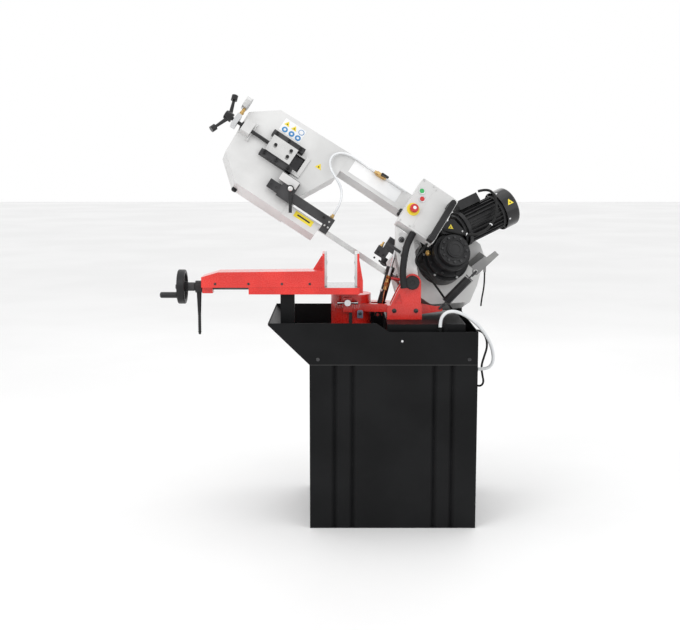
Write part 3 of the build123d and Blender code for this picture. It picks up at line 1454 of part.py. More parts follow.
cord(
    [
        (ELBOW_X, ELBOW_Y, ELBOW_TOP),
        (ELBOW_X, ELBOW_Y, ELBOW_TOP + 30),
        (185, -252, 788),
        (212, -247, 793),
        (240, -241, 784),
        (268, -232, 768),
        (297, -222, 745),
        (324, -212, 716),
        (347, -205, 681),
        (361, -201, 645),
        (366, -198, 612),
        (360, -194, 586),
        (HOSE_GLAND.X + GLAND_T + 30, HOSE_GLAND.Y, HOSE_GLAND.Z),
        (HOSE_GLAND.X + GLAND_T, HOSE_GLAND.Y, HOSE_GLAND.Z),
    ],
    HOSE_D,
    "coolant_hose",
)
nozzle_x = (HEAD_LEFT + HEAD_RIGHT) / 2
nozzle_tip = in_cut(nozzle_x, 74, 22)
valve_inlet = in_bow(VALVE_LEFT, VALVE_Y, VALVE_H + 3)
CLEAR_ROUTE = [
    (-446, 125, 73),
    (-468, 156, 74),
    (-503, 178, 70),
    (-536, 197, 64),
    (-558, 225, 58),
    (-560, 256, 54),
    (-542, 283, 51),
    (-508, 298, 50),
    (-466, 301, 49),
    (VALVE_LEFT - 36, VALVE_Y, VALVE_H + 3),
]
clear_route = [nozzle_tip, in_cut(nozzle_x, 106, 22)] + [in_bow(*place) for place in CLEAR_ROUTE] + [valve_inlet]
cord(clear_route, CLEAR_D, "clear_hose")

conduit_top = in_bow(-160, BOX_LOW, 182)
cord(
    [
        conduit_top,
        in_bow(-160, BOX_LOW - 45, 182),
        (42, -143, 972),
        (35, -145, 916),
        (42, -144, 863),
    ],
    CONDUIT_D,
    "conduit",
)
cable_top = in_bow(-95, BOX_LOW, 172)
cord(
    [
        cable_top,
        in_bow(-95, BOX_LOW - 27, 172),
        (92, -125, 984),
        (84, -119, 958),
        (98, -103, 936),
        (126, -80, 910),
        (162, -58, 866),
        (203, -46, 808),
        (238, 8, 758),
    ],
    CABLE_D,
    "control_cable",
)
cord(
    [MOTOR_CABLE_TOP, (343, SPRING_Y, 880), (340, -78, 846), (335, -72, 816), (333, -66, 787)],
    MOTOR_CABLE_D,
    "motor_cable",
)
stub_end = (COIL_CENTRE[0] + COIL_STUB, COIL_CENTRE[1] + COIL_MID_R, CABLE_D / 2 + 0.2)
cord(
    [
        (LEAD_GLAND.X + GLAND_T, LEAD_GLAND.Y, LEAD_GLAND.Z),
        (LEAD_GLAND.X + GLAND_T + 24, LEAD_GLAND.Y, LEAD_GLAND.Z),
        (352, -99, 670),
        (356, -94, 636),
        (346, -86, 599),
        (337, -75, 561),
        (344, -60, 524),
        (353, -38, 492),
        (346, -6, 470),
        (330, 44, 464),
        (322, 100, 440),
        (319, 168, 396),
        (320, 235, 335),
        (323, 291, 262),
        (322, 334, 180),
        (314, 368, 102),
        (292, 399, 42),
        (248, 426, 12),
        (stub_end[0] + 60, stub_end[1], stub_end[2]),
        stub_end,
    ],
    CABLE_D,
    "mains_lead",
)

with BuildPart() as mains_coil:
    with BuildSketch(Plane.XY):
        with Locations(COIL_CENTRE):
            Circle(COIL_MID_R + COIL_W / 2)
            Circle(COIL_MID_R - COIL_W / 2, mode=Mode.SUBTRACT)
    extrude(amount=COIL_W)
    fillet(mains_coil.edges().filter_by(GeomType.CIRCLE), radius=8)
    with BuildSketch(Plane.YZ.offset(COIL_CENTRE[0])):
        with Locations((stub_end[1], stub_end[2])):
            Circle(CABLE_D / 2)
    extrude(amount=COIL_STUB)
    with BuildSketch(Plane.YZ.offset(COIL_CENTRE[0])):
        with Locations((COIL_CENTRE[1] + COIL_MID_R, PLUG_H / 2)):
            Circle(CABLE_D / 2)
    extrude(amount=-COIL_STUB)
save(mains_coil, "mains_coil")

plug_right = COIL_CENTRE[0] - COIL_STUB
plug_y = COIL_CENTRE[1] + COIL_MID_R
with BuildPart() as mains_plug:
    with BuildSketch(Plane.YZ.offset(plug_right)):
        with Locations((plug_y, PLUG_H / 2)):
            Circle(8)
    with BuildSketch(Plane.YZ.offset(plug_right - 14)):
        with Locations((plug_y, PLUG_H / 2)):
            Circle(PLUG_H / 2)
    loft()
    with BuildSketch(Plane.YZ.offset(plug_right - 14)):
        with Locations((plug_y, PLUG_H / 2)):
            RectangleRounded(PLUG_W, PLUG_H, 8)
    extrude(amount=14 - PLUG_L)
    with BuildSketch(Plane.YZ.offset(plug_right - PLUG_L)):
        with Locations((plug_y - 9.5, PLUG_H / 2), (plug_y + 9.5, PLUG_H / 2)):
            Circle(2.4)
    extrude(amount=-19)
save(mains_plug, "mains_plug")
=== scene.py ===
"""Looks of a horizontal band saw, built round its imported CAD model.

World places are in metres. A piece's own drawing is in millimetres in one of the
placements below, and the placement carries it into the world.
"""
import json
from math import cos, pi, radians, sin

import bmesh
import bpy
from mathutils import Matrix, Vector


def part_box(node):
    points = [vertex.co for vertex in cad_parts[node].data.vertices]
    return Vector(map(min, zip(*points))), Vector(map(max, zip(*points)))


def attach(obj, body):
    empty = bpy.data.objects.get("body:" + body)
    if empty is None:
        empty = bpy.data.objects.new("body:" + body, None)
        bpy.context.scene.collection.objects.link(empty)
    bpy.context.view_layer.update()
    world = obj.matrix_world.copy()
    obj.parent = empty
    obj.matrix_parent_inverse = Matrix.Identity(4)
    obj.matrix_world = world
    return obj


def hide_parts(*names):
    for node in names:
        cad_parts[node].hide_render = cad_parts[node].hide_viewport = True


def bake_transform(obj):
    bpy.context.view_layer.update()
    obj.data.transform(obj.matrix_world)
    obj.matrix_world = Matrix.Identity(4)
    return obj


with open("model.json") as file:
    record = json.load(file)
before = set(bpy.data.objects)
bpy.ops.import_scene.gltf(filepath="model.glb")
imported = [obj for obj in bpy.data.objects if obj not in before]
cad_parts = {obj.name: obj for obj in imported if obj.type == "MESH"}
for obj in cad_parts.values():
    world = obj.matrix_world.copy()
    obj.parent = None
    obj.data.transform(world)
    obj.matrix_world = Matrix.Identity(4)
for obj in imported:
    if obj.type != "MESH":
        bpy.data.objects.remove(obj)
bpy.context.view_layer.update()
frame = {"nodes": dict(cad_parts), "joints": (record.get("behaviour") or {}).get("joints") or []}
joints = {joint["name"]: joint for joint in frame["joints"]}

# ---- camera ------------------------------------------------------------------
CAMERA_AT = (-0.19125, -4.2, 1.3337)
CAMERA_DOWN = 8
LENS = 59.3

camera_data = bpy.data.cameras.new("camera")
camera_data.lens = LENS
camera_data.sensor_width = 36
camera = bpy.data.objects.new("camera", camera_data)
camera.location = CAMERA_AT
camera.rotation_euler = (radians(90 - CAMERA_DOWN), 0, 0)
bpy.context.scene.collection.objects.link(camera)
bpy.context.scene.camera = camera


# ---- placements --------------------------------------------------------------
def placement(origin, x_dir, z_dir):
    """Matrix that carries millimetres along x_dir and z_dir from origin into the world."""
    x_axis = Vector(x_dir).normalized()
    z_axis = Vector(z_dir).normalized()
    y_axis = z_axis.cross(x_axis)
    turn = Matrix((x_axis, y_axis, z_axis)).transposed().to_4x4()
    return Matrix.Translation(origin) @ turn @ Matrix.Scale(0.001, 4)


WHEEL_R = 145
ALONG = Vector(joints["tension_travel"]["axis"])
FACE_OUT = Vector(joints["drive_spin"]["axis"])
UPWARD = Vector((-ALONG.z, 0, ALONG.x))
DRIVE_CENTRE = Vector(joints["drive_spin"]["pos_m"])
BOW_UP = FACE_OUT.cross(ALONG)
DRIVE_POINT = DRIVE_CENTRE - BOW_UP * WHEEL_R / 1000
WORM_AXIS = Vector(joints["rotor_spin"]["axis"])
WORM_FOOT = Vector(joints["rotor_spin"]["pos_m"])

WORLD = placement((0, 0, 0), (1, 0, 0), (0, 0, 1))
FRONT = placement((0, 0, 0), (1, 0, 0), (0, -1, 0))
BACK = placement((0, 0, 0), (-1, 0, 0), (0, 1, 0))
RIGHT = placement((0, 0, 0), (0, 1, 0), (1, 0, 0))
BOW = placement(DRIVE_POINT, ALONG, FACE_OUT)
BOW_REAR = placement(DRIVE_POINT, -ALONG, -FACE_OUT)
CUT = placement(DRIVE_POINT, ALONG, (0, -1, 0))
WORM = placement(WORM_FOOT, WORM_AXIS.cross(FACE_OUT), WORM_AXIS)
GEAR = placement(DRIVE_CENTRE, ALONG, FACE_OUT)
SCREW = placement(DRIVE_POINT + (BOW_UP * 153 + FACE_OUT * 53) / 1000, BOW_UP, ALONG)


def at(where, x, y, height):
    """World point of a place in a placement."""
    return where @ Vector((x, y, height))


# ---- materials ---------------------------------------------------------------
def mixed(nodes, links, factor, first, second):
    """Colour mix node of two colours or sockets by a factor socket."""
    mix = nodes.new("ShaderNodeMix")
    mix.data_type = "RGBA"
    links.new(factor, mix.inputs["Factor"])
    for socket, value in ((mix.inputs["A"], first), (mix.inputs["B"], second)):
        if isinstance(value, tuple):
            socket.default_value = (*value, 1)
        else:
            links.new(value, socket)
    return mix.outputs["Result"]


def ramp(nodes, links, value, low, high, to_low=0.0, to_high=1.0):
    """Smooth map of a value from one range to another."""
    scale = nodes.new("ShaderNodeMapRange")
    scale.interpolation_type = "SMOOTHSTEP"
    links.new(value, scale.inputs["Value"])
    scale.inputs["From Min"].default_value = low
    scale.inputs["From Max"].default_value = high
    scale.inputs["To Min"].default_value = to_low
    scale.inputs["To Max"].default_value = to_high
    return scale.outputs["Result"]


def noise(nodes, links, place, scale, detail=4.0, stretch=(1, 1, 1), turn=(0, 0, 0)):
    """Noise of a scale per metre, stretched along a turned frame."""
    mapping = nodes.new("ShaderNodeMapping")
    mapping.inputs["Rotation"].default_value = turn
    mapping.inputs["Scale"].default_value = stretch
    links.new(place, mapping.inputs["Vector"])
    texture = nodes.new("ShaderNodeTexNoise")
    texture.inputs["Scale"].default_value = scale
    texture.inputs["Detail"].default_value = detail
    links.new(mapping.outputs["Vector"], texture.inputs["Vector"])
    return texture.outputs["Fac"]


def finish(
    name,
    dark,
    light,
    metal=0.0,
    rough=(0.35, 0.5),
    grain=700.0,
    stretch=(1, 1, 1),
    turn=(0, 0, 0),
    bump=0.15,
    depth=0.0002,
    blotch=9.0,
    coat=0.0,
    wear=None,
    wear_from=0.05,
    round_edges=0.0012,
    specular=0.5,
):
    """Material of blotched colour, grained roughness and bump, with softened, worn edges."""
    material = bpy.data.materials.new(name)
    material.use_nodes = True
    nodes, links = material.node_tree.nodes, material.node_tree.links
    shader = nodes["Principled BSDF"]
    place = nodes.new("ShaderNodeTexCoord").outputs["Object"]
    fine = noise(nodes, links, place, grain, 3.0, stretch, turn)
    broad = noise(nodes, links, place, blotch, 5.0)
    shade = ramp(nodes, links, broad, 0.35, 0.68)
    colour = mixed(nodes, links, shade, dark, light)
    bevel = nodes.new("ShaderNodeBevel")
    bevel.samples = 4
    bevel.inputs["Radius"].default_value = round_edges
    if wear:
        geometry = nodes.new("ShaderNodeNewGeometry")
        dot = nodes.new("ShaderNodeVectorMath")
        dot.operation = "DOT_PRODUCT"
        links.new(bevel.outputs["Normal"], dot.inputs[0])
        links.new(geometry.outputs["Normal"], dot.inputs[1])
        edge = ramp(nodes, links, dot.outputs["Value"], 1.0, 1.0 - wear_from - 0.15, 0.0, 0.7)
        spots = ramp(nodes, links, noise(nodes, links, place, 130.0), 0.5, 0.62)
        both = nodes.new("ShaderNodeMath")
        both.operation = "MULTIPLY"
        links.new(edge, both.inputs[0])
        links.new(spots, both.inputs[1])
        colour = mixed(nodes, links, both.outputs["Value"], colour, wear)
    links.new(colour, shader.inputs["Base Color"])
    links.new(ramp(nodes, links, fine, 0.3, 0.7, rough[0], rough[1]), shader.inputs["Roughness"])
    relief = nodes.new("ShaderNodeBump")
    relief.inputs["Strength"].default_value = bump
    relief.inputs["Distance"].default_value = depth
    links.new(fine, relief.inputs["Height"])
    links.new(bevel.outputs["Normal"], relief.inputs["Normal"])
    links.new(relief.outputs["Normal"], shader.inputs["Normal"])
    shader.inputs["Metallic"].default_value = metal
    shader.inputs["Specular IOR Level"].default_value = specular
    shader.inputs["Coat Weight"].default_value = coat
    shader.inputs["Coat Roughness"].default_value = 0.12
    return material


def machined_top(material, level, left):
    """Lets a painted casting show ground steel on its level top face, right of left."""
    nodes, links = material.node_tree.nodes, material.node_tree.links
    shader = nodes["Principled BSDF"]
    place = nodes.new("ShaderNodeTexCoord").outputs["Object"]
    split = nodes.new("ShaderNodeSeparateXYZ")
    links.new(place, split.inputs["Vector"])
    facing = nodes.new("ShaderNodeSeparateXYZ")
    links.new(nodes.new("ShaderNodeNewGeometry").outputs["Normal"], facing.inputs["Vector"])
    tests = [(facing.outputs["Z"], 0.9), (split.outputs["Z"], level - 0.0005), (split.outputs["X"], left)]
    mask = None
    for socket, least in tests:
        test = nodes.new("ShaderNodeMath")
        test.operation = "GREATER_THAN"
        links.new(socket, test.inputs[0])
        test.inputs[1].default_value = least
        if mask is None:
            mask = test.outputs["Value"]
            continue
        product = nodes.new("ShaderNodeMath")
        product.operation = "MULTIPLY"
        links.new(mask, product.inputs[0])
        links.new(test.outputs["Value"], product.inputs[1])
        mask = product.outputs["Value"]
    scratches = noise(nodes, links, place, 500.0, 3.0, (0.06, 1, 1))
    steel = mixed(nodes, links, scratches, (0.30, 0.30, 0.31), (0.62, 0.62, 0.62))
    painted = shader.inputs["Base Color"].links[0].from_socket
    links.new(mixed(nodes, links, mask, painted, steel), shader.inputs["Base Color"])
    links.new(mask, shader.inputs["Metallic"])


TILT = (0, radians(-33.5), 0)
black_powder = finish(
    "black_powder", (0.0045, 0.0047, 0.0052), (0.0080, 0.0083, 0.0090), rough=(0.34, 0.5), grain=1500,
    bump=0.22, depth=0.00025, blotch=4, wear=(0.06, 0.06, 0.06), wear_from=0.1, specular=0.14,
)
red_paint = finish(
    "red_paint", (0.64, 0.016, 0.010), (0.80, 0.028, 0.018), rough=(0.2, 0.34), grain=240, bump=0.3,
    depth=0.0005, coat=0.5, wear=(0.16, 0.03, 0.03),
)
bed_paint = finish(
    "bed_paint", (0.64, 0.016, 0.010), (0.80, 0.028, 0.018), rough=(0.2, 0.34), grain=240, bump=0.3,
    depth=0.0005, coat=0.3, wear=(0.16, 0.03, 0.03),
)
grey_paint = finish(
    "grey_paint", (0.60, 0.60, 0.595), (0.70, 0.70, 0.695), rough=(0.3, 0.46), grain=420, bump=0.22,
    depth=0.0004, blotch=6, coat=0.2, wear=(0.40, 0.40, 0.39),
)
black_cast = finish(
    "black_cast", (0.010, 0.010, 0.011), (0.024, 0.024, 0.025), rough=(0.3, 0.5), grain=520, bump=0.5,
    depth=0.0006, wear=(0.10, 0.10, 0.10), specular=0.28,
)
ground_steel = finish(
    "ground_steel", (0.56, 0.56, 0.56), (0.72, 0.72, 0.71), metal=1.0, rough=(0.24, 0.42), grain=900,
    stretch=(0.05, 1, 1), turn=TILT, bump=0.12, depth=0.0001, wear=(0.9, 0.9, 0.9),
)
dark_steel = finish(
    "dark_steel", (0.040, 0.040, 0.042), (0.078, 0.078, 0.080), metal=0.75, rough=(0.32, 0.5), grain=800,
    stretch=(0.1, 1, 1), turn=TILT, bump=0.15, wear=(0.3, 0.3, 0.3),
)
chrome_steel = finish(
    "chrome_steel", (0.62, 0.62, 0.63), (0.8, 0.8, 0.81), metal=1.0, rough=(0.08, 0.18), grain=600, bump=0.04,
)
machined_iron = finish(
    "machined_iron", (0.24, 0.24, 0.24), (0.36, 0.36, 0.35), metal=0.9,
    rough=(0.34, 0.55), grain=700, bump=0.3,
)
aluminium_block = finish(
    "aluminium_block", (0.60, 0.61, 0.62), (0.74, 0.74, 0.75), metal=1.0, rough=(0.25, 0.4), grain=800,
    stretch=(1, 1, 0.08), bump=0.1, wear=(0.95, 0.95, 0.95),
)
brass_valve = finish(
    "brass_valve", (0.52, 0.33, 0.11), (0.72, 0.50, 0.22), metal=1.0, rough=(0.2, 0.38), grain=500, bump=0.12,
)
copper = finish("copper", (0.50, 0.23, 0.12), (0.66, 0.34, 0.2), metal=1.0, rough=(0.22, 0.4), bump=0.1)
black_plastic = finish(
    "black_plastic", (0.010, 0.010, 0.011), (0.02, 0.02, 0.021),
    rough=(0.42, 0.6), grain=1600, bump=0.3, specular=0.3,
)
gloss_black = finish(
    "gloss_black", (0.007, 0.007, 0.008), (0.014, 0.014, 0.015), rough=(0.18, 0.3), grain=500, bump=0.1,
    coat=0.3, round_edges=0.0018, specular=0.3,
)
black_rubber = finish(
    "black_rubber", (0.008, 0.008, 0.008), (0.02, 0.02, 0.02),
    rough=(0.45, 0.65), grain=1200, bump=0.25, specular=0.25,
)
white_hose = finish(
    "white_hose", (0.62, 0.64, 0.66), (0.78, 0.79, 0.79), rough=(0.3, 0.45), grain=400, bump=0.15,
)
clear_hose = finish(
    "clear_hose", (0.66, 0.68, 0.70), (0.84, 0.85, 0.86), rough=(0.12, 0.25), grain=300, bump=0.1, coat=0.4,
)
green_button = finish(
    "green_button", (0.01, 0.30, 0.06), (0.03, 0.46, 0.12), rough=(0.16, 0.28), bump=0.08, coat=0.5,
)
red_button = finish(
    "red_button", (0.52, 0.006, 0.008), (0.7, 0.02, 0.02), rough=(0.16, 0.28), bump=0.08, coat=0.5,
)
yellow_sign = finish(
    "yellow_sign", (0.80, 0.62, 0.02), (0.88, 0.72, 0.05), rough=(0.3, 0.4), grain=900, bump=0.05,
)
white_sign = finish(
    "white_sign", (0.78, 0.79, 0.80), (0.88, 0.88, 0.88), rough=(0.28, 0.4), grain=900, bump=0.05,
)
blue_sign = finish(
    "blue_sign", (0.04, 0.22, 0.50), (0.07, 0.30, 0.60), rough=(0.3, 0.4), grain=900, bump=0.05,
)
black_sign = finish(
    "black_sign", (0.010, 0.010, 0.010), (0.02, 0.02, 0.02), rough=(0.35, 0.45), grain=900, bump=0.05,
)
blue_plate = finish(
    "blue_plate", (0.16, 0.19, 0.27), (0.24, 0.28, 0.36), metal=0.6, rough=(0.32, 0.45), grain=700, bump=0.15,
)
dial_glass = finish(
    "dial_glass", (0.70, 0.74, 0.74), (0.82, 0.85, 0.85), rough=(0.05, 0.1), grain=300, bump=0.02, coat=1.0,
)
machined_top(bed_paint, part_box("fixed_jaw_plate")[0].z - 0.001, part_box("moving_jaw_plate")[1].x - 0.006)

NODE_FINISH = {
    black_powder: "cabinet chip_tray coolant_tank vice_post plinth",
    red_paint: "turntable_base vice_slide bow_bracket",
    bed_paint: "vice_bed",
    ground_steel: "fixed_jaw_plate moving_jaw_plate blade tension_block",
    black_cast: "handwheel gearbox motor feed_cylinder vice_lever",
    gloss_black: "crank_grip fan_cover tension_handle guide_lever coolant_tap",
    dark_steel: "vice_screw pivot_shaft slide_gibs guide_holder fixed_guide guide_arm lower_spring_hook "
    "counter_spring upper_spring_hook",
    chrome_steel: "mitre_lock feed_rod",
    grey_paint: "bow_head bow_beam wheel_housing rear_covers hinge_plate control_box tension_bracket "
    "blade_guard",
    black_plastic: "grab_handle conduit",
    black_rubber: "mains_lead mains_coil mains_plug control_cable motor_cable",
    white_hose: "coolant_hose",
    clear_hose: "clear_hose",
    machined_iron: "idler_wheel drive_wheel motor_rotor spring_arm",
    aluminium_block: "pressure_gauge",
    brass_valve: "coolant_valve",
    green_button: "start_button",
    red_button: "stop_button estop_button",
}
for material, names in NODE_FINISH.items():
    for node_name in names.split():
        node_mesh = frame["nodes"][node_name].data
        node_mesh.materials.clear()
        node_mesh.materials.append(material)


# ---- piece builder -----------------------------------------------------------
class Piece:
    """One visual piece, drawn in millimetres in a placement and riding on a body."""

    def __init__(self, name, body, material, where):
        self.name = name
        self.body = body
        self.material = material
        self.where = where
        self.form = bmesh.new()

    def ring(self, points):
        """Adds a closed ring of points and returns its vertices."""
        return [self.form.verts.new(self.where @ Vector(point)) for point in points]

    def skin(self, rings, closed=True, ends=True):
        """Joins rings of equal length by faces, and closes both ends."""
        count = len(rings[0])
        for lower, upper in zip(rings, rings[1:]):
            for index in range(count if closed else count - 1):
                following = (index + 1) % count
                self.form.faces.new((lower[index], lower[following], upper[following], upper[index]))
        if ends:
            self.form.faces.new(list(reversed(rings[0])))
            self.form.faces.new(rings[-1])

    def slab(self, outline, low, high):
        """Flat solid of an outline between two heights."""
        self.skin([self.ring([(x, y, level) for x, y in outline]) for level in (low, high)])

    def box(self, left, right, bottom, top, low, high):
        """Rectangular solid between two heights."""
        self.slab([(left, bottom), (right, bottom), (right, top), (left, top)], low, high)

    def turned(self, x, y, profile, steps=32, hexagon=()):
        """Solid of rings (radius, height) round a place, some of them hexagonal."""
        rings = []
        for index, (radius, level) in enumerate(profile):
            points = []
            for step in range(steps):
                angle = 2 * pi * step / steps
                reach = radius
                if index in hexagon:
                    reach = radius * cos(pi / 6) / cos(angle % (pi / 3) - pi / 6)
                points.append((x + reach * cos(angle), y + reach * sin(angle), level))
            rings.append(self.ring(points))
        self.skin(rings)

    def cap_screw(self, x, y, base, radius, height):
        """Socket head screw standing on a base height."""
        top = base + height
        self.turned(
            x, y,
            [(radius, base), (radius, top - radius * 0.12), (radius * 0.88, top), (radius * 0.56, top),
             (radius * 0.54, top - height * 0.55), (radius * 0.1, top - height * 0.6)],
            steps=24, hexagon=(3, 4),
        )

    def hex_bolt(self, x, y, base, radius, height):
        """Hexagon bolt head with a washer under it."""
        self.turned(
            x, y,
            [(radius * 1.3, base), (radius * 1.3, base + 1.2),
             (radius, base + 1.2), (radius, base + height - 0.6),
             (radius * 0.82, base + height)],
            steps=24, hexagon=(2, 3),
        )

    def done(self, bevel=0.4, smooth_angle=38):
        """Closes the piece: mesh, finish, softened edges and its body."""
        bmesh.ops.recalc_face_normals(self.form, faces=self.form.faces)
        mesh = bpy.data.meshes.new(self.name)
        self.form.to_mesh(mesh)
        self.form.free()
        mesh.materials.append(self.material)
        mesh.polygons.foreach_set("use_smooth", [True] * len(mesh.polygons))
        mesh.set_sharp_from_angle(angle=radians(smooth_angle))
        piece = bpy.data.objects.new(self.name, mesh)
        bpy.context.scene.collection.objects.link(piece)
        if bevel:
            soften = piece.modifiers.new("soften", "BEVEL")
            soften.width = bevel / 1000
            soften.segments = 2
            soften.limit_method = "ANGLE"
            soften.angle_limit = radians(40)
        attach(piece, self.body)
        return piece


def cap_screws(name, body, where, places, base, radius, height, material=black_cast):
    """Group of like socket screws."""
    group = Piece(name, body, material, where)
    for x, y in places:
        group.cap_screw(x, y, base, radius, height)
    return group.done(bevel=0)


def hex_bolts(name, body, where, places, base, radius, height, material=ground_steel):
    """Group of like hexagon bolts."""
    group = Piece(name, body, material, where)
    for x, y in places:
        group.hex_bolt(x, y, base, radius, height)
    return group.done(bevel=0)


def rod(name, body, material, points, radius, smooth=True):
    """Round bar or rigid pipe along world points."""
    curve = bpy.data.curves.new(name, "CURVE")
    curve.dimensions = "3D"
    curve.bevel_depth = radius
    curve.bevel_resolution = 5
    curve.use_fill_caps = True
    spline = curve.splines.new("NURBS")
    spline.points.add(len(points) - 1)
    for point, place in zip(spline.points, points):
        point.co = (*place, 1)
    spline.order_u = 3 if smooth else 2
    spline.use_endpoint_u = True
    curve.resolution_u = 8
    curve.materials.append(material)
    piece = bpy.data.objects.new(name, curve)
    bpy.context.scene.collection.objects.link(piece)
    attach(piece, body)
    return piece


# ---- cords: control points of each route, in metres ---------------------------
coolant_hose = rod(
    "coolant_hose_line", "stand", white_hose,
    [
        (0.166, -0.254, 0.735), (0.166, -0.254, 0.765), (0.185, -0.252, 0.788), (0.212, -0.247, 0.793),
        (0.240, -0.241, 0.784), (0.268, -0.232, 0.768), (0.297, -0.222, 0.745), (0.324, -0.212, 0.716),
        (0.347, -0.205, 0.681), (0.361, -0.201, 0.645), (0.366, -0.198, 0.612), (0.360, -0.194, 0.586),
        (0.340, -0.192, 0.572), (0.310, -0.192, 0.572),
    ],
    0.006,
)
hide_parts("coolant_hose")

NOZZLE_X = -436.5
clear_points = [at(CUT, NOZZLE_X, 74, 22), at(CUT, NOZZLE_X, 106, 22)]
clear_points += [
    at(BOW, x, y, height)
    for x, y, height in (
        (-446, 125, 73), (-468, 156, 74), (-503, 178, 70), (-536, 197, 64), (-558, 225, 58),
        (-560, 256, 54), (-542, 283, 51), (-508, 298, 50), (-466, 301, 49), (-421, 298, 49.5),
        (-385, 298, 49.5),
    )
]
clear_line = rod("clear_hose_line", "bow", clear_hose, clear_points, 0.0045)
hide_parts("clear_hose")

cable_points = [at(BOW, -95, 116, 172), at(BOW, -95, 89, 172)]
cable_points += [
    Vector(place)
    for place in (
        (0.092, -0.125, 0.984), (0.084, -0.119, 0.958), (0.098, -0.103, 0.936), (0.126, -0.080, 0.910),
        (0.162, -0.058, 0.866), (0.203, -0.046, 0.808), (0.238, 0.008, 0.758),
    )
]
control_line = rod("control_cable_line", "bow", black_rubber, cable_points, 0.004)
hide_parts("control_cable")

motor_line = rod(
    "motor_cable_line", "bow", black_rubber,
    [
        (0.343, -0.080, 0.915), (0.343, -0.080, 0.880), (0.340, -0.078, 0.846), (0.335, -0.072, 0.816),
        (0.333, -0.066, 0.787),
    ],
    0.003,
)
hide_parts("motor_cable")

LEAD_D = 0.008
COIL_AT = Vector((0.060, 0.400, 0))
COIL_OUTER = 0.057
TURN_STEP = 0.0084
LAYER_TURNS = 3.0
CLIMB_TURNS = 0.34
POINTS_A_TURN = 14
lead_points = [
    Vector(place)
    for place in (
        (0.310, -0.100, 0.700), (0.334, -0.100, 0.700), (0.352, -0.099, 0.670), (0.356, -0.094, 0.636),
        (0.346, -0.086, 0.599), (0.337, -0.075, 0.561), (0.344, -0.060, 0.524), (0.353, -0.038, 0.492),
        (0.346, -0.006, 0.470), (0.330, 0.044, 0.464), (0.322, 0.100, 0.440), (0.319, 0.168, 0.396),
        (0.320, 0.235, 0.335), (0.323, 0.291, 0.262), (0.322, 0.334, 0.180), (0.314, 0.368, 0.102),
        (0.292, 0.399, 0.042), (0.248, 0.426, 0.012), (0.190, 0.446, 0.0044), (0.130, 0.456, 0.0042),
    )
]
total_turns = 2 * LAYER_TURNS
for step in range(1, int(total_turns * POINTS_A_TURN)):
    turns = step / POINTS_A_TURN
    inward = min(turns, LAYER_TURNS)
    climb = min(max((turns - LAYER_TURNS) / CLIMB_TURNS, 0), 1)
    outward = max(turns - LAYER_TURNS - CLIMB_TURNS, 0)
    radius = COIL_OUTER - TURN_STEP * (inward - outward)
    angle = pi / 2 + 2 * pi * turns
    level = 0.0042 + TURN_STEP * climb
    lead_points.append(COIL_AT + Vector((radius * cos(angle), radius * sin(angle), level)))
lead_points += [
    Vector((0.050, 0.4525, 0.013)), Vector((0.020, 0.447, 0.0138)), Vector((-0.010, 0.445, 0.014)),
]
mains_lead = rod("mains_lead_line", "stand", black_rubber, lead_points, LEAD_D / 2)
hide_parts("mains_lead", "mains_coil")


def centre_line(points, name):
    """Points along the smooth line that a NURBS route makes, in metres."""
    curve = bpy.data.curves.new(name, "CURVE")
    curve.dimensions = "3D"
    spline = curve.splines.new("NURBS")
    spline.points.add(len(points) - 1)
    for point, place in zip(spline.points, points):
        point.co = (*place, 1)
    spline.order_u = 3
    spline.use_endpoint_u = True
    curve.resolution_u = 24
    carrier = bpy.data.objects.new(name, curve)
    mesh = bpy.data.meshes.new_from_object(carrier)
    line = [vertex.co.copy() for vertex in mesh.vertices]
    bpy.data.objects.remove(carrier)
    return line


def spaced(line, gap):
    """Points a gap apart along a line."""
    result = [line[0]]
    travelled = 0.0
    for before, after in zip(line, line[1:]):
        run = (after - before).length
        while run > 0 and travelled + run >= gap:
            before = before + (after - before) * ((gap - travelled) / run)
            run = (after - before).length
            result.append(before.copy())
            travelled = 0.0
        travelled += run
    return result


def ribbed_tube(name, body, material, line, radius, rib, rib_count):
    """Tube along a line whose radius rises and falls in rings."""
    form = bmesh.new()
    rings = []
    side = Vector((0, 1, 0))
    for index, centre in enumerate(line):
        ahead = line[min(index + 1, len(line) - 1)] - line[max(index - 1, 0)]
        across = ahead.cross(side).normalized()
        upright = across.cross(ahead).normalized()
        reach = radius - rib * (index % rib_count < rib_count / 2)
        ring = []
        for step in range(24):
            angle = 2 * pi * step / 24
            ring.append(form.verts.new(centre + (across * cos(angle) + upright * sin(angle)) * reach))
        rings.append(ring)
    for lower, upper in zip(rings, rings[1:]):
        for index in range(24):
            following = (index + 1) % 24
            form.faces.new((lower[index], lower[following], upper[following], upper[index]))
    form.faces.new(list(reversed(rings[0])))
    form.faces.new(rings[-1])
    bmesh.ops.recalc_face_normals(form, faces=form.faces)
    mesh = bpy.data.meshes.new(name)
    form.to_mesh(mesh)
    form.free()
    mesh.materials.append(material)
    mesh.polygons.foreach_set("use_smooth", [True] * len(mesh.polygons))
    piece = bpy.data.objects.new(name, mesh)
    bpy.context.scene.collection.objects.link(piece)
    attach(piece, body)
    return piece


conduit_points = [at(BOW, -160, 116, 182), at(BOW, -160, 71, 182)]
conduit_points += [
    Vector((0.042, -0.143, 0.972)), Vector((0.035, -0.145, 0.916)), Vector((0.042, -0.144, 0.863)),
]
conduit_path = spaced(centre_line(conduit_points, "conduit_route"), 0.0011)
conduit_tube = ribbed_tube("conduit_ribs", "bow", black_plastic, conduit_path, 0.013, 0.0012, 4)
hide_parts("conduit")

# ---- signs: plain generic shapes ------------------------------------------------
FACE_H = 40


def sign_panel(name, body, where, outline, face, material):
    """Thin sticker with an outline on a face height."""
    panel = Piece(name, body, material, where)
    panel.slab(outline, face, face + 0.4)
    return panel.done(bevel=0)


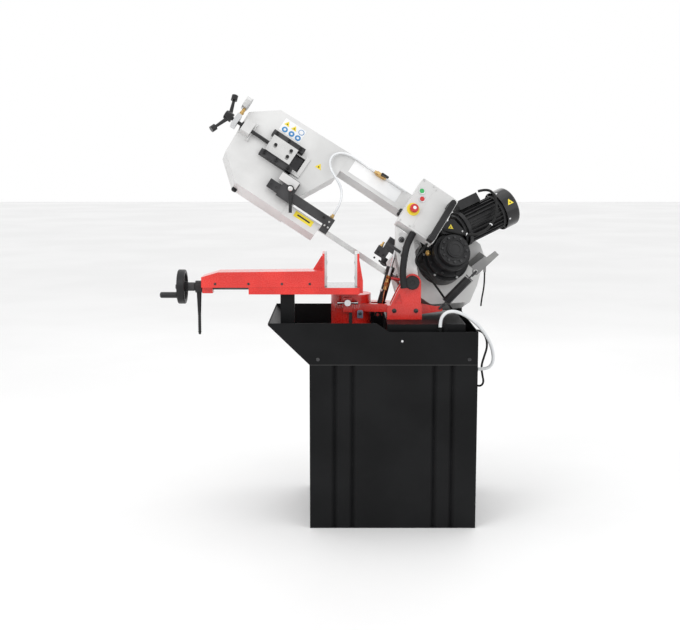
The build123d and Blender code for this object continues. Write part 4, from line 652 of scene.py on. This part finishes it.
def rectangle(left, right, bottom, top):
    """Outline of an upright rectangle."""
    return [(left, bottom), (right, bottom), (right, top), (left, top)]


def triangle_sign(name, body, where, x, y, size, face, spin=0.0):
    """Yellow triangle with a dark spot, turned by spin."""
    shape = [
        (
            x + size * cos(pi / 2 + spin + 2 * pi * corner / 3),
            y + size * sin(pi / 2 + spin + 2 * pi * corner / 3),
        )
        for corner in range(3)
    ]
    sign_panel(name, body, where, shape, face, yellow_sign)
    spot = Piece(name + "_spot", body, black_sign, where)
    spot.turned(x, y - size * 0.05, [(size * 0.2, face + 0.3), (size * 0.2, face + 0.6)], 16)
    return spot.done(bevel=0)


def round_sign(group, x, y, radius, face):
    """Adds a round sign to a group piece."""
    group.turned(x, y, [(radius, face), (radius, face + 0.3)], 28)


sign_panel("head_panel", "bow", BOW, rectangle(-783, -690, 227, 283), FACE_H, white_sign)
blue_discs = Piece("head_panel_discs", "bow", blue_sign, BOW)
for disc_x, disc_y in ((-763, 240), (-733, 240), (-705, 240), (-705, 267)):
    round_sign(blue_discs, disc_x, disc_y, 11.5, FACE_H + 0.4)
blue_discs.done(bevel=0)
white_centres = Piece("head_panel_centres", "bow", white_sign, BOW)
for disc_x, disc_y, inner in ((-763, 240, 5), (-733, 240, 4.5), (-705, 240, 5), (-705, 267, 9)):
    round_sign(white_centres, disc_x, disc_y, inner, FACE_H + 0.7)
white_centres.done(bevel=0)
for sign_index, sign_x in enumerate((-766, -735)):
    triangle_sign(f"head_panel_triangle_{sign_index}", "bow", BOW, sign_x, 264, 13, FACE_H + 0.4)
triangle_sign("head_triangle", "bow", BOW, -580, 190, 15, FACE_H)
sign_panel("beam_panel", "bow", BOW, rectangle(-478, -266, 241, 296), FACE_H, white_sign)
sign_panel("guard_sign", "guide", BOW, rectangle(-560, -482, -32, -8), 43, yellow_sign)
sign_panel("guard_sign_bar", "guide", BOW, rectangle(-548, -494, -23, -17), 43.4, black_sign)
triangle_sign("fan_triangle", "bow", placement(at(WORM, 0, 0, 305), WORM_AXIS, FACE_OUT), 0, 0, 15, 74.6)

# ---- head: gibs, tension block, bracket, guides ----------------------------------
GIB_MID_X = -724
BLOCK_Y = 153
gib_screws = [(GIB_MID_X + step * 52, BLOCK_Y + side * 46.1) for step in (-1, 0, 1) for side in (-1, 1)]
cap_screws("gib_screws", "bow", BOW, gib_screws, 65, 6.2, 5)
block_screws = [(-757, BLOCK_Y), (-697, BLOCK_Y + 14), (-697, BLOCK_Y - 14)]
cap_screws("block_screws", "tension_slide", BOW, block_screws, 71.5, 6.8, 4.5)
slide_base = Piece("slide_base_plate", "tension_slide", dark_steel, BOW)
slide_base.box(-700, -640, 126, 180, 33, 35.5)
slide_base.done(0.5)
lip = Piece("slot_lip", "bow", grey_paint, BOW)
lip.box(-636, -620, 112, 194, 40, 46)
lip.box(-655, -620, 103, 112, 40, 46)
lip.done(1.2)
nut = Piece("tension_lock_nut", "bow", black_cast, SCREW)
nut.turned(0, 0, [(13, -905.5), (14, -904), (14, -899.5), (13, -898)], 36)
nut.done(0)
rib = Piece("bracket_rib", "bow", grey_paint, BOW)
rib.slab([(-859, 112), (-854, 112), (-854, 194), (-859, 194)], 40, 52)
rib.done(1.0)
gauge = Piece("gauge_rim", "tension_slide", ground_steel, SCREW)
gauge.turned(84, 0, [(27, -942.3), (28.2, -941), (28.2, -922.5), (26.5, -920.6), (25, -920.6)], 48)
gauge.done(0)
dial = Piece("gauge_dial", "tension_slide", dial_glass, SCREW)
dial.turned(84, 0, [(25, -921.2), (25, -920.8), (23, -920.6)], 48)
dial.done(0)
neck = Piece("gauge_neck", "tension_slide", brass_valve, SCREW)
neck_where = placement(at(SCREW, 22, 0, -928), ALONG, BOW_UP)
neck.where = neck_where
neck_profile = [(8, 0), (8, 7), (6.4, 8), (6.4, 13), (8.2, 14), (8.2, 20), (6.6, 22), (6.6, 36)]
neck.turned(0, 0, neck_profile, 24, (0, 1, 4, 5))
neck.done(0)
knob_ends = Piece("tension_knob_ends", "tension_handle", gloss_black, SCREW)
knob_ends.turned(0, 0, [(11, -977.5), (15, -976), (16, -970), (17.6, -968), (17.6, -950), (16, -946)], 40)
knob_ends.done(0)
bumper = Piece("head_bumper", "bow", black_rubber, placement(DRIVE_POINT, ALONG, -BOW_UP))
bumper.turned(-796, -16, [(9, 46), (10.5, 48), (10.5, 55), (9, 58), (4, 59)], 28)
bumper.done(0)

holder_top = Piece("holder_top_block", "bow", grey_paint, CUT)
holder_top.box(-678, -604, 74, 104, 66, 70.5)
holder_top.done(0.8)
cap_screws("bar_screws", "guide", CUT, [(-690, 42), (-668, 42)], 56.5, 5, 3.6)
cap_screws("bar_end_screw", "guide", CUT, [(-462, 47)], 60, 5, 3.6)
lever_nut = Piece("lever_nut", "guide_lever", ground_steel, CUT)
lever_nut.turned(-622, 68, [(9, 80), (9, 83), (7.2, 84.4), (3, 85.5)], 24)
lever_nut.done(0)
hose_nut = Piece("nozzle_fitting", "guide", brass_valve, placement(at(CUT, NOZZLE_X, 58, 22), ALONG, UPWARD))
hose_nut.turned(0, 0, [(7.6, 0), (7.6, 7), (5.4, 8), (5.4, 11), (6.2, 12), (5, 16)], 24, (0, 1))
hose_nut.done(0)
head_screws = Piece("guide_head_screws", "guide", ground_steel, CUT)
for screw_x, screw_y in ((-444, 24), (-429, 24), (-436, 44)):
    head_screws.cap_screw(screw_x, screw_y, 60, 3.6, 3)
head_screws.done(0)

# ---- beam: valve, pipe, clamp knob ------------------------------------------------
valve_where = placement(at(BOW, -385, 298, 49.5), BOW_UP, ALONG)
valve_body = Piece("valve_body", "bow", brass_valve, valve_where)
valve_body.turned(
    0, 0,
    [(6.5, -9), (6.5, -1), (10.5, 0), (10.5, 8), (9.2, 9),
     (9.2, 26), (10.5, 27), (10.5, 35), (6, 36), (6, 42)],
    24, (2, 3, 6, 7),
)
valve_body.done(0)
rod(
    "coolant_pipe", "bow", white_hose,
    [at(BOW, -344, 298, 49.5), at(BOW, -310, 299, 49.5), at(BOW, -272, 300, 49.5), at(BOW, -250, 300, 52)],
    0.0035,
)
clamp = Piece("clamp_knob", "bow", gloss_black, BOW)
for lobe in range(5):
    lobe_angle = 2 * pi * lobe / 5
    clamp.turned(
        -222 + 13 * cos(lobe_angle), 205 + 13 * sin(lobe_angle),
        [(7, 62), (8, 64), (8, 76), (6, 79)], 16,
    )
clamp.turned(-222, 205, [(8, 40), (8, 60), (15, 62), (15, 79), (9, 82)], 28)
clamp.done(0)

# ---- control box -------------------------------------------------------------------
panel = Piece("button_plate", "bow", aluminium_block, BOW)
for place in ((-215, 266, 9.6), (-199, 240, 9.6)):
    collar = [(place[2] + 3.4, 200), (place[2] + 3.4, 202.4), (place[2] + 0.4, 203)]
    panel.turned(place[0], place[1], collar, 36)
panel.done(0)
box_front = Piece("control_box_lid", "bow", grey_paint, BOW)
box_front.slab(rectangle(-178, -86, 124, 307), 200, 201.2)
box_front.done(1.0)
box_screws = [
    (-228, 123), (-228, 308), (-186, 308), (-186, 123), (-92, 132), (-92, 300), (-172, 300), (-172, 132),
]
cap_screws("box_screws", "bow", BOW, box_screws, 199.8, 3.6, 2.4, ground_steel)
estop_plate = Piece("estop_plate", "bow", yellow_sign, BOW)
estop_plate.turned(-207, 186, [(24, 199.8), (24, 202.8), (23, 203.4)], 48)
estop_plate.done(0)
estop_arrow = Piece("estop_ring", "estop_button", white_sign, BOW)
estop_arrow.turned(-207, 186, [(6.5, 221.4), (6.5, 222.4)], 24)
estop_arrow.done(0)
gland = Piece("box_glands", "bow", black_plastic, placement(DRIVE_POINT, ALONG, -BOW_UP))
gland.turned(-160, -182, [(19, -117), (19, -108), (16.5, -107), (16.5, -96), (14, -94)], 30, (0, 1))
gland.turned(-95, -172, [(9.5, -117), (9.5, -110), (7.6, -109), (7.6, -101), (5, -99)], 24, (0, 1))
gland.done(0)
handle_screws = [(-98, 122), (-98, 268)]
cap_screws("handle_screws", "bow", BOW, handle_screws, 243.4, 5, 3.4)

# ---- hinge casting, bracket, fixed guide ----------------------------------------------
hex_bolts("hinge_bolts", "bow", CUT, [(-181, 138), (-142, 94)], 103, 8.5, 10, dark_steel)
hex_bolts("hinge_small_bolts", "bow", CUT, [(-196, 152), (-160, 118), (-170, 156)], 103, 4.5, 5, ground_steel)
cap_screws("fixed_guide_screws", "bow", CUT, [(-221, 50), (-198, 50), (-221, 24), (-198, 24)], 16, 4, 3)
fixed_nozzle = Piece("fixed_guide_nozzle", "bow", brass_valve, placement(at(CUT, -222, 73, 4), ALONG, UPWARD))
fixed_nozzle.turned(0, 0, [(6.6, 0), (6.6, 6), (4.4, 7), (4.4, 18), (3.2, 19)], 20, (0, 1))
fixed_nozzle.done(0)
guide_bar = Piece("fixed_guide_bar", "bow", dark_steel, CUT)
guide_bar.box(-222, -158, 92, 103, 103.4, 107.5)
guide_bar.done(0.8)
pivot_cap = Piece("pivot_cap", "swivel", gloss_black, FRONT)
pivot_cap.turned(74, 880, [(25.6, 126.6), (24, 128.4), (9, 128.8), (8, 127.6), (4, 127.4)], 48)
pivot_cap.done(0)
hex_bolts("bracket_bolts", "swivel", FRONT, [(88, 776), (8, 776)], 120, 6.5, 6, dark_steel)
ring_bolts = Piece("turntable_index", "swivel", ground_steel, WORLD)
for tick in range(19):
    tick_angle = radians(-160 + tick * 5 + 20)
    tick_x = -150 + 75.2 * cos(tick_angle)
    tick_y = 75.2 * sin(tick_angle)
    ring_bolts.box(tick_x - 0.5, tick_x + 0.5, tick_y - 0.5, tick_y + 0.5, 781 if tick % 2 else 777, 793)
ring_bolts.done(0)
lug = Piece("bed_link_plate", "swivel", blue_plate, FRONT)
lug.slab([(-128, 744), (-106, 744), (-106, 770), (-110, 774), (-124, 774), (-128, 770)], 84, 89)
lug.done(0.6)
lug_bolt = Piece("bed_link_bolt", "swivel", dark_steel, FRONT)
lug_bolt.hex_bolt(-117, 761, 89, 5, 5)
lug_bolt.done(0)
stay_bar = Piece("turntable_stay", "stand", dark_steel, FRONT)
stay_bar.box(-158, -146, 704, 768, 78, 84)
stay_bar.done(0.6)

# ---- feed cylinder -----------------------------------------------------------------------
FEED_FOOT = Vector(joints["feed_swing"]["pos_m"])
FEED_DIR = Vector(joints["feed_stroke"]["axis"])
FEED = placement(FEED_FOOT, (0, -1, 0), FEED_DIR)
caps = Piece("feed_cylinder_caps", "feed_cylinder", black_cast, FEED)
caps.turned(0, 0, [(15.4, 14), (16.2, 16), (16.2, 26), (15.2, 28), (14.2, 28.4)], 36)
caps.turned(0, 0, [(14.2, 165), (16.2, 166), (16.2, 181), (15, 184.6), (8.6, 185.2), (6.4, 185.2)], 36)
caps.done(0)
flow_valve = Piece("flow_valve", "feed_cylinder", brass_valve, FEED)
flow_valve.where = placement(FEED_FOOT + Vector((0.0, -0.021, 0)), (0, -1, 0), FEED_DIR)
flow_valve.turned(
    0, 0,
    [(5, 96), (7, 98), (7, 112), (9.5, 113), (9.5, 128),
     (7.4, 129), (7.4, 142), (9, 143), (9, 152), (5, 154)],
    24, (3, 4, 7, 8),
)
flow_valve.done(0)
valve_top = Piece("flow_valve_needle", "feed_cylinder", white_hose, flow_valve.where)
valve_top.turned(0, 0, [(4.6, 153), (4.6, 182), (3, 184)], 20)
valve_top.done(0)
rod(
    "feed_pipe", "feed_cylinder", copper,
    [
        at(flow_valve.where, 0, 0, 97), at(flow_valve.where, 0, 0, 84), at(flow_valve.where, 0, 3, 64),
        at(flow_valve.where, -4, 5, 44), at(flow_valve.where, -6, 5, 30),
    ],
    0.0024,
)
rod(
    "feed_valve_lever", "feed_cylinder", red_button,
    [at(FEED, 22, 10, 146), at(FEED, 24, 30, 148), at(FEED, 24, 46, 150), at(FEED, 24, 60, 151)],
    0.0048,
)
valve_block = Piece("feed_valve_block", "feed_cylinder", black_cast, FEED)
valve_block.box(-6, 22, -9, 12, 132, 156)
valve_block.done(1.2)
ball = Piece("bleed_ball", "feed_cylinder", white_hose, FEED)
ball.turned(20, -12, [(1, 88), (4, 89), (5.5, 93), (4, 97), (1, 98)], 20)
ball.done(0)

# ---- spring ---------------------------------------------------------------------------------
SPRING_DIR = Vector(joints["spring_stretch"]["axis"])
SPRING_TURNS = 21
WIRE = 0.0025
spring_low, spring_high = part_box("counter_spring")
spring_mid = (spring_low + spring_high) / 2
COIL_R = 0.017 - WIRE
COIL_L = 0.120


def spring_coil():
    """Close-wound wire coil that replaces the spring's plain tube."""
    side = Vector((0, 1, 0))
    up = SPRING_DIR.cross(side)
    form = bmesh.new()
    rings = []
    steps = SPRING_TURNS * 20
    for step in range(steps + 1):
        share = step / steps
        angle = 2 * pi * SPRING_TURNS * share
        radial = side * cos(angle) + up * sin(angle)
        run = (share - 0.5) * (COIL_L - 2 * WIRE)
        centre = spring_mid + SPRING_DIR * run + radial * COIL_R
        ring = []
        for corner in range(10):
            turn = 2 * pi * corner / 10
            ring.append(form.verts.new(centre + (radial * cos(turn) + SPRING_DIR * sin(turn)) * WIRE))
        rings.append(ring)
    for lower, upper in zip(rings, rings[1:]):
        for corner in range(10):
            following = (corner + 1) % 10
            form.faces.new((lower[corner], lower[following], upper[following], upper[corner]))
    form.faces.new(list(reversed(rings[0])))
    form.faces.new(rings[-1])
    bmesh.ops.recalc_face_normals(form, faces=form.faces)
    mesh = bpy.data.meshes.new("spring_coil")
    form.to_mesh(mesh)
    form.free()
    mesh.materials.append(dark_steel)
    mesh.polygons.foreach_set("use_smooth", [True] * len(mesh.polygons))
    piece = bpy.data.objects.new("spring_coil", mesh)
    bpy.context.scene.collection.objects.link(piece)
    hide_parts("counter_spring")
    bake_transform(piece)


spring_coil()

# ---- gearbox and motor ------------------------------------------------------------------------
cap_ring = Piece("gearbox_cap_ring", "bow", black_cast, GEAR)
for ring_radius, ring_low, ring_high in ((62, 171.5, 174), (40, 197.6, 200.4), (22, 203.6, 206)):
    rings = []
    section = [(3, ring_low), (2, ring_high), (-2, ring_high), (-3, ring_low)]
    for across, level in section:
        reach = ring_radius + across
        rings.append(
            cap_ring.ring([
                (reach * cos(2 * pi * step / 64), reach * sin(2 * pi * step / 64), level)
                for step in range(64)
            ])
        )
    cap_ring.skin(rings + [rings[0]], ends=False)
cap_ring.done(0)
gear_bolts = [(76 * cos(2 * pi * step / 8 + 0.2), 76 * sin(2 * pi * step / 8 + 0.2)) for step in range(8)]
cap_screws("gearbox_flange_screws", "bow", GEAR, gear_bolts, 126, 5, 5, dark_steel)
cap_bolts = [(47 * cos(2 * pi * step / 12), 47 * sin(2 * pi * step / 12)) for step in range(12)]
cap_screws("gearbox_cap_screws", "bow", GEAR, cap_bolts, 201.6, 4.4, 2.4, dark_steel)
base_bolts = [(86.5 * cos(2 * pi * step / 6 + 0.5), 86.5 * sin(2 * pi * step / 6 + 0.5)) for step in range(6)]
cap_screws("gearbox_base_screws", "bow", GEAR, base_bolts, 100, 4.2, 5, ground_steel)
fill_plug = Piece("oil_plug", "bow", brass_valve, GEAR)
fill_plug.hex_bolt(-68, -38, 126, 8, 9)
fill_plug.done(0)
guard_box = Piece("switch_cover", "bow", black_cast, BOW)
guard_box.slab([(-84, 192), (-70, 246), (-56, 252), (6, 236), (2, 226), (-66, 176)], 158, 184)
guard_box.done(2.0)
triangle_sign("switch_triangle", "bow", BOW, -53, 218, 12, 184, 0.5)
cap_screws("switch_screws", "bow", BOW, [(-76, 190), (-8, 230)], 183.6, 3.2, 2.2, ground_steel)
loop_points = [
    at(BOW, -30, 420, 150), at(BOW, -8, 440, 168), at(BOW, 24, 434, 180), at(BOW, 54, 398, 184),
    at(BOW, 74, 346, 184), at(BOW, 68, 292, 184), at(BOW, 44, 250, 184), at(BOW, 10, 228, 184),
    at(BOW, -30, 206, 190), at(BOW, -62, 196, 190), at(BOW, -76, 192, 184),
]
motor_loop = rod("motor_cable_loop", "bow", black_rubber, loop_points, 0.005)
ties = Piece("cable_ties", "bow", white_sign, placement(at(BOW, 71, 318, 184), ALONG, BOW_UP))
ties.turned(0, 0, [(6.2, -2), (6.2, 2)], 20)
ties.done(0.3)
tie_two = Piece("cable_tie_low", "bow", white_sign, placement(at(BOW, 10, 229, 184), BOW_UP, ALONG))
tie_two.turned(0, 0, [(6.2, -2), (6.2, 2)], 20)
tie_two.done(0.3)
fan_screws = Piece("fan_cover_screws", "bow", chrome_steel, WORM)
for quarter in range(4):
    screw_angle = pi / 4 + quarter * pi / 2
    radial = placement(
        at(WORM, 74 * cos(screw_angle), 74 * sin(screw_angle), 283),
        WORM_AXIS,
        (WORM.to_3x3() @ Vector((cos(screw_angle), sin(screw_angle), 0))),
    )
    fan_screws.where = radial
    fan_screws.cap_screw(0, 0, 0.4, 4, 2.6)
fan_screws.done(0)

# ---- vice -----------------------------------------------------------------------------------
JAW_SCREWS = [(-135, 952), (-75, 952), (-135, 896), (-75, 896)]
fixed_jaw_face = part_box("fixed_jaw_plate")[0].x
fixed_face = placement((fixed_jaw_face, 0, 0), (0, -1, 0), (-1, 0, 0))
fixed_screws = Piece("fixed_jaw_screws", "stand", dark_steel, fixed_face)
for jaw_y, jaw_z in JAW_SCREWS:
    fixed_screws.cap_screw(-jaw_y, jaw_z, -0.2, 5.5, 0.9)
fixed_screws.done(0)
moving_jaw_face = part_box("moving_jaw_plate")[1].x
moving_face = placement((moving_jaw_face, 0, 0), (0, 1, 0), (1, 0, 0))
moving_screws = Piece("moving_jaw_screws", "vice_slide", dark_steel, moving_face)
for jaw_y, jaw_z in JAW_SCREWS:
    moving_screws.cap_screw(jaw_y, jaw_z, -0.2, 5.5, 0.9)
moving_screws.done(0)
thread_end = placement((-0.744, -0.150, 0.869), (0, 1, 0), (1, 0, 0))
thread = Piece("vice_screw_thread", "handwheel", dark_steel, thread_end)
thread_profile = [(10.95, 0.5), (15.8, 1.5), (15.8, 24), (14.6, 26), (11.2, 27)]
thread.turned(0, 0, thread_profile, 36)
thread.done(0)
wheel_face = placement((-0.781, -0.150, 0.869), (0, -1, 0), (-1, 0, 0))
wheel_nut = Piece("handwheel_nut", "handwheel", dark_steel, wheel_face)
wheel_nut.hex_bolt(0, 0, 0, 9, 8)
wheel_nut.done(0)
grip_end = placement((-0.840, -0.190, 0.843), (0, -1, 0), (-1, 0, 0))
grip_cap = Piece("crank_grip_cap", "crank_grip", chrome_steel, grip_end)
grip_cap.turned(0, 0, [(4.6, -0.6), (4.6, 0.8), (3, 1.6)], 24)
grip_cap.done(0)
lever_down = placement((-0.704, -0.150, 0.869), (1, 0, 0), (0, 0, -1))
lever_rings = Piece("vice_lever_rings", "vice_lever", black_cast, lever_down)
lever_profile = [(5, 84)]
for groove in range(9):
    start = 90 + groove * 9
    lever_profile += [(4.8, start), (6.2, start + 2), (6.2, start + 5), (4.8, start + 7)]
lever_profile.append((4.6, 174))
lever_rings.turned(0, 0, lever_profile, 20)
lever_rings.done(0)
gib_bolts = [(-640, 884), (-520, 884), (-400, 884), (-300, 884)]
cap_screws("vice_gib_screws", "vice_slide", FRONT, gib_bolts, 200, 4.4, 2.4, dark_steel)

# ---- stand: door, louvres, seams, corner screws -------------------------------------------------
front_y = 275
seam = Piece("stand_seam", "stand", black_sign, FRONT)
seam.box(-299.4, 299.4, 600.6, 603.4, front_y, front_y + 0.5)
seam.done(0)
keyhole = Piece("stand_lock", "stand", chrome_steel, FRONT)
keyhole.turned(30, 688, [(4.2, front_y), (4.2, front_y + 1.2), (2, front_y + 1.4)], 20)
keyhole.done(0)
door = Piece("rear_door", "stand", black_powder, BACK)
door.box(-240, 240, 60, 560, front_y, front_y + 1.6)
door.done(0.8)
louvres = Piece("rear_door_louvres", "stand", black_powder, BACK)
for louvre in range(8):
    louvre_z = 420 + louvre * 14
    slat = [(-80, louvre_z), (80, louvre_z), (80, louvre_z + 6), (-80, louvre_z + 6)]
    louvres.slab(slat, front_y + 1.6, front_y + 5)
louvres.done(1.4)
latch = Piece("rear_door_latch", "stand", chrome_steel, BACK)
latch_profile = [
    (14, front_y + 1.6), (14, front_y + 4), (9, front_y + 5), (9, front_y + 8), (4, front_y + 9),
]
latch.turned(210, 320, latch_profile, 32)
latch.done(0)
hinges = Piece("rear_door_hinges", "stand", black_cast, BACK)
for hinge_z in (120, 470):
    hinges.box(-262, -240, hinge_z, hinge_z + 50, front_y, front_y + 3)
hinges.done(0.8)
hex_bolts(
    "tray_bolts", "stand", FRONT,
    [(-270, 622), (270, 622)], front_y, 5, 4, dark_steel,
)
vents = Piece("side_vents", "stand", black_sign, RIGHT)
for slot_index in range(7):
    vents.box(-60, 60, 180 + slot_index * 14, 184 + slot_index * 14, 300, 300.6)
vents.done(0)

# ---- rear covers: knobs -----------------------------------------------------------------------------
knobs = Piece("rear_cover_knobs", "bow", gloss_black, BOW_REAR)
for knob_x, knob_y in ((640, 20), (860, 180), (600, 250)):
    knobs.turned(knob_x, knob_y, [(7, 46), (12, 48), (12, 58), (9, 61)], 28)
for knob_x, knob_y in ((130, 120), (-60, 230)):
    knobs.turned(knob_x, knob_y, [(7, 69), (12, 71), (12, 81), (9, 84)], 28)
knobs.done(0)

# ---- floor and light -----------------------------------------------------------------------------------
floor_mesh = bpy.data.meshes.new("floor")
floor_mesh.from_pydata([(-30, -30, 0), (30, -30, 0), (30, 30, 0), (-30, 30, 0)], [], [(0, 1, 2, 3)])
floor = bpy.data.objects.new("floor", floor_mesh)
bpy.context.scene.collection.objects.link(floor)
floor_paint = finish(
    "floor_paint", (0.86, 0.86, 0.86), (0.90, 0.90, 0.90), rough=(0.6, 0.75), grain=30, bump=0.02, blotch=0.6,
    round_edges=0.0,
)
floor_mesh.materials.append(floor_paint)

world = bpy.data.worlds.new("world")
world.use_nodes = True
world.node_tree.nodes["Background"].inputs["Color"].default_value = (1, 1, 1, 1)
world.node_tree.nodes["Background"].inputs["Strength"].default_value = 1.0
bpy.context.scene.world = world


def soft_light(name, place, aim, size, power):
    """Square area light that looks at a point."""
    lamp = bpy.data.lights.new(name, "AREA")
    lamp.size = size
    lamp.energy = power
    holder = bpy.data.objects.new(name, lamp)
    holder.location = place
    holder.rotation_euler = (Vector(aim) - Vector(place)).to_track_quat("-Z", "Y").to_euler()
    bpy.context.scene.collection.objects.link(holder)


MIDDLE = (-0.1, 0, 0.9)
soft_light("key", (-2.6, -3.4, 3.6), MIDDLE, 2.2, 44)
soft_light("fill", (3.2, -2.6, 2.2), MIDDLE, 2.6, 12)
soft_light("back", (0.5, 3.4, 3.4), MIDDLE, 2.6, 20)
soft_light("top", (0, 0, 4.6), MIDDLE, 3.0, 18)
bpy.context.scene.view_settings.view_transform = "Standard"
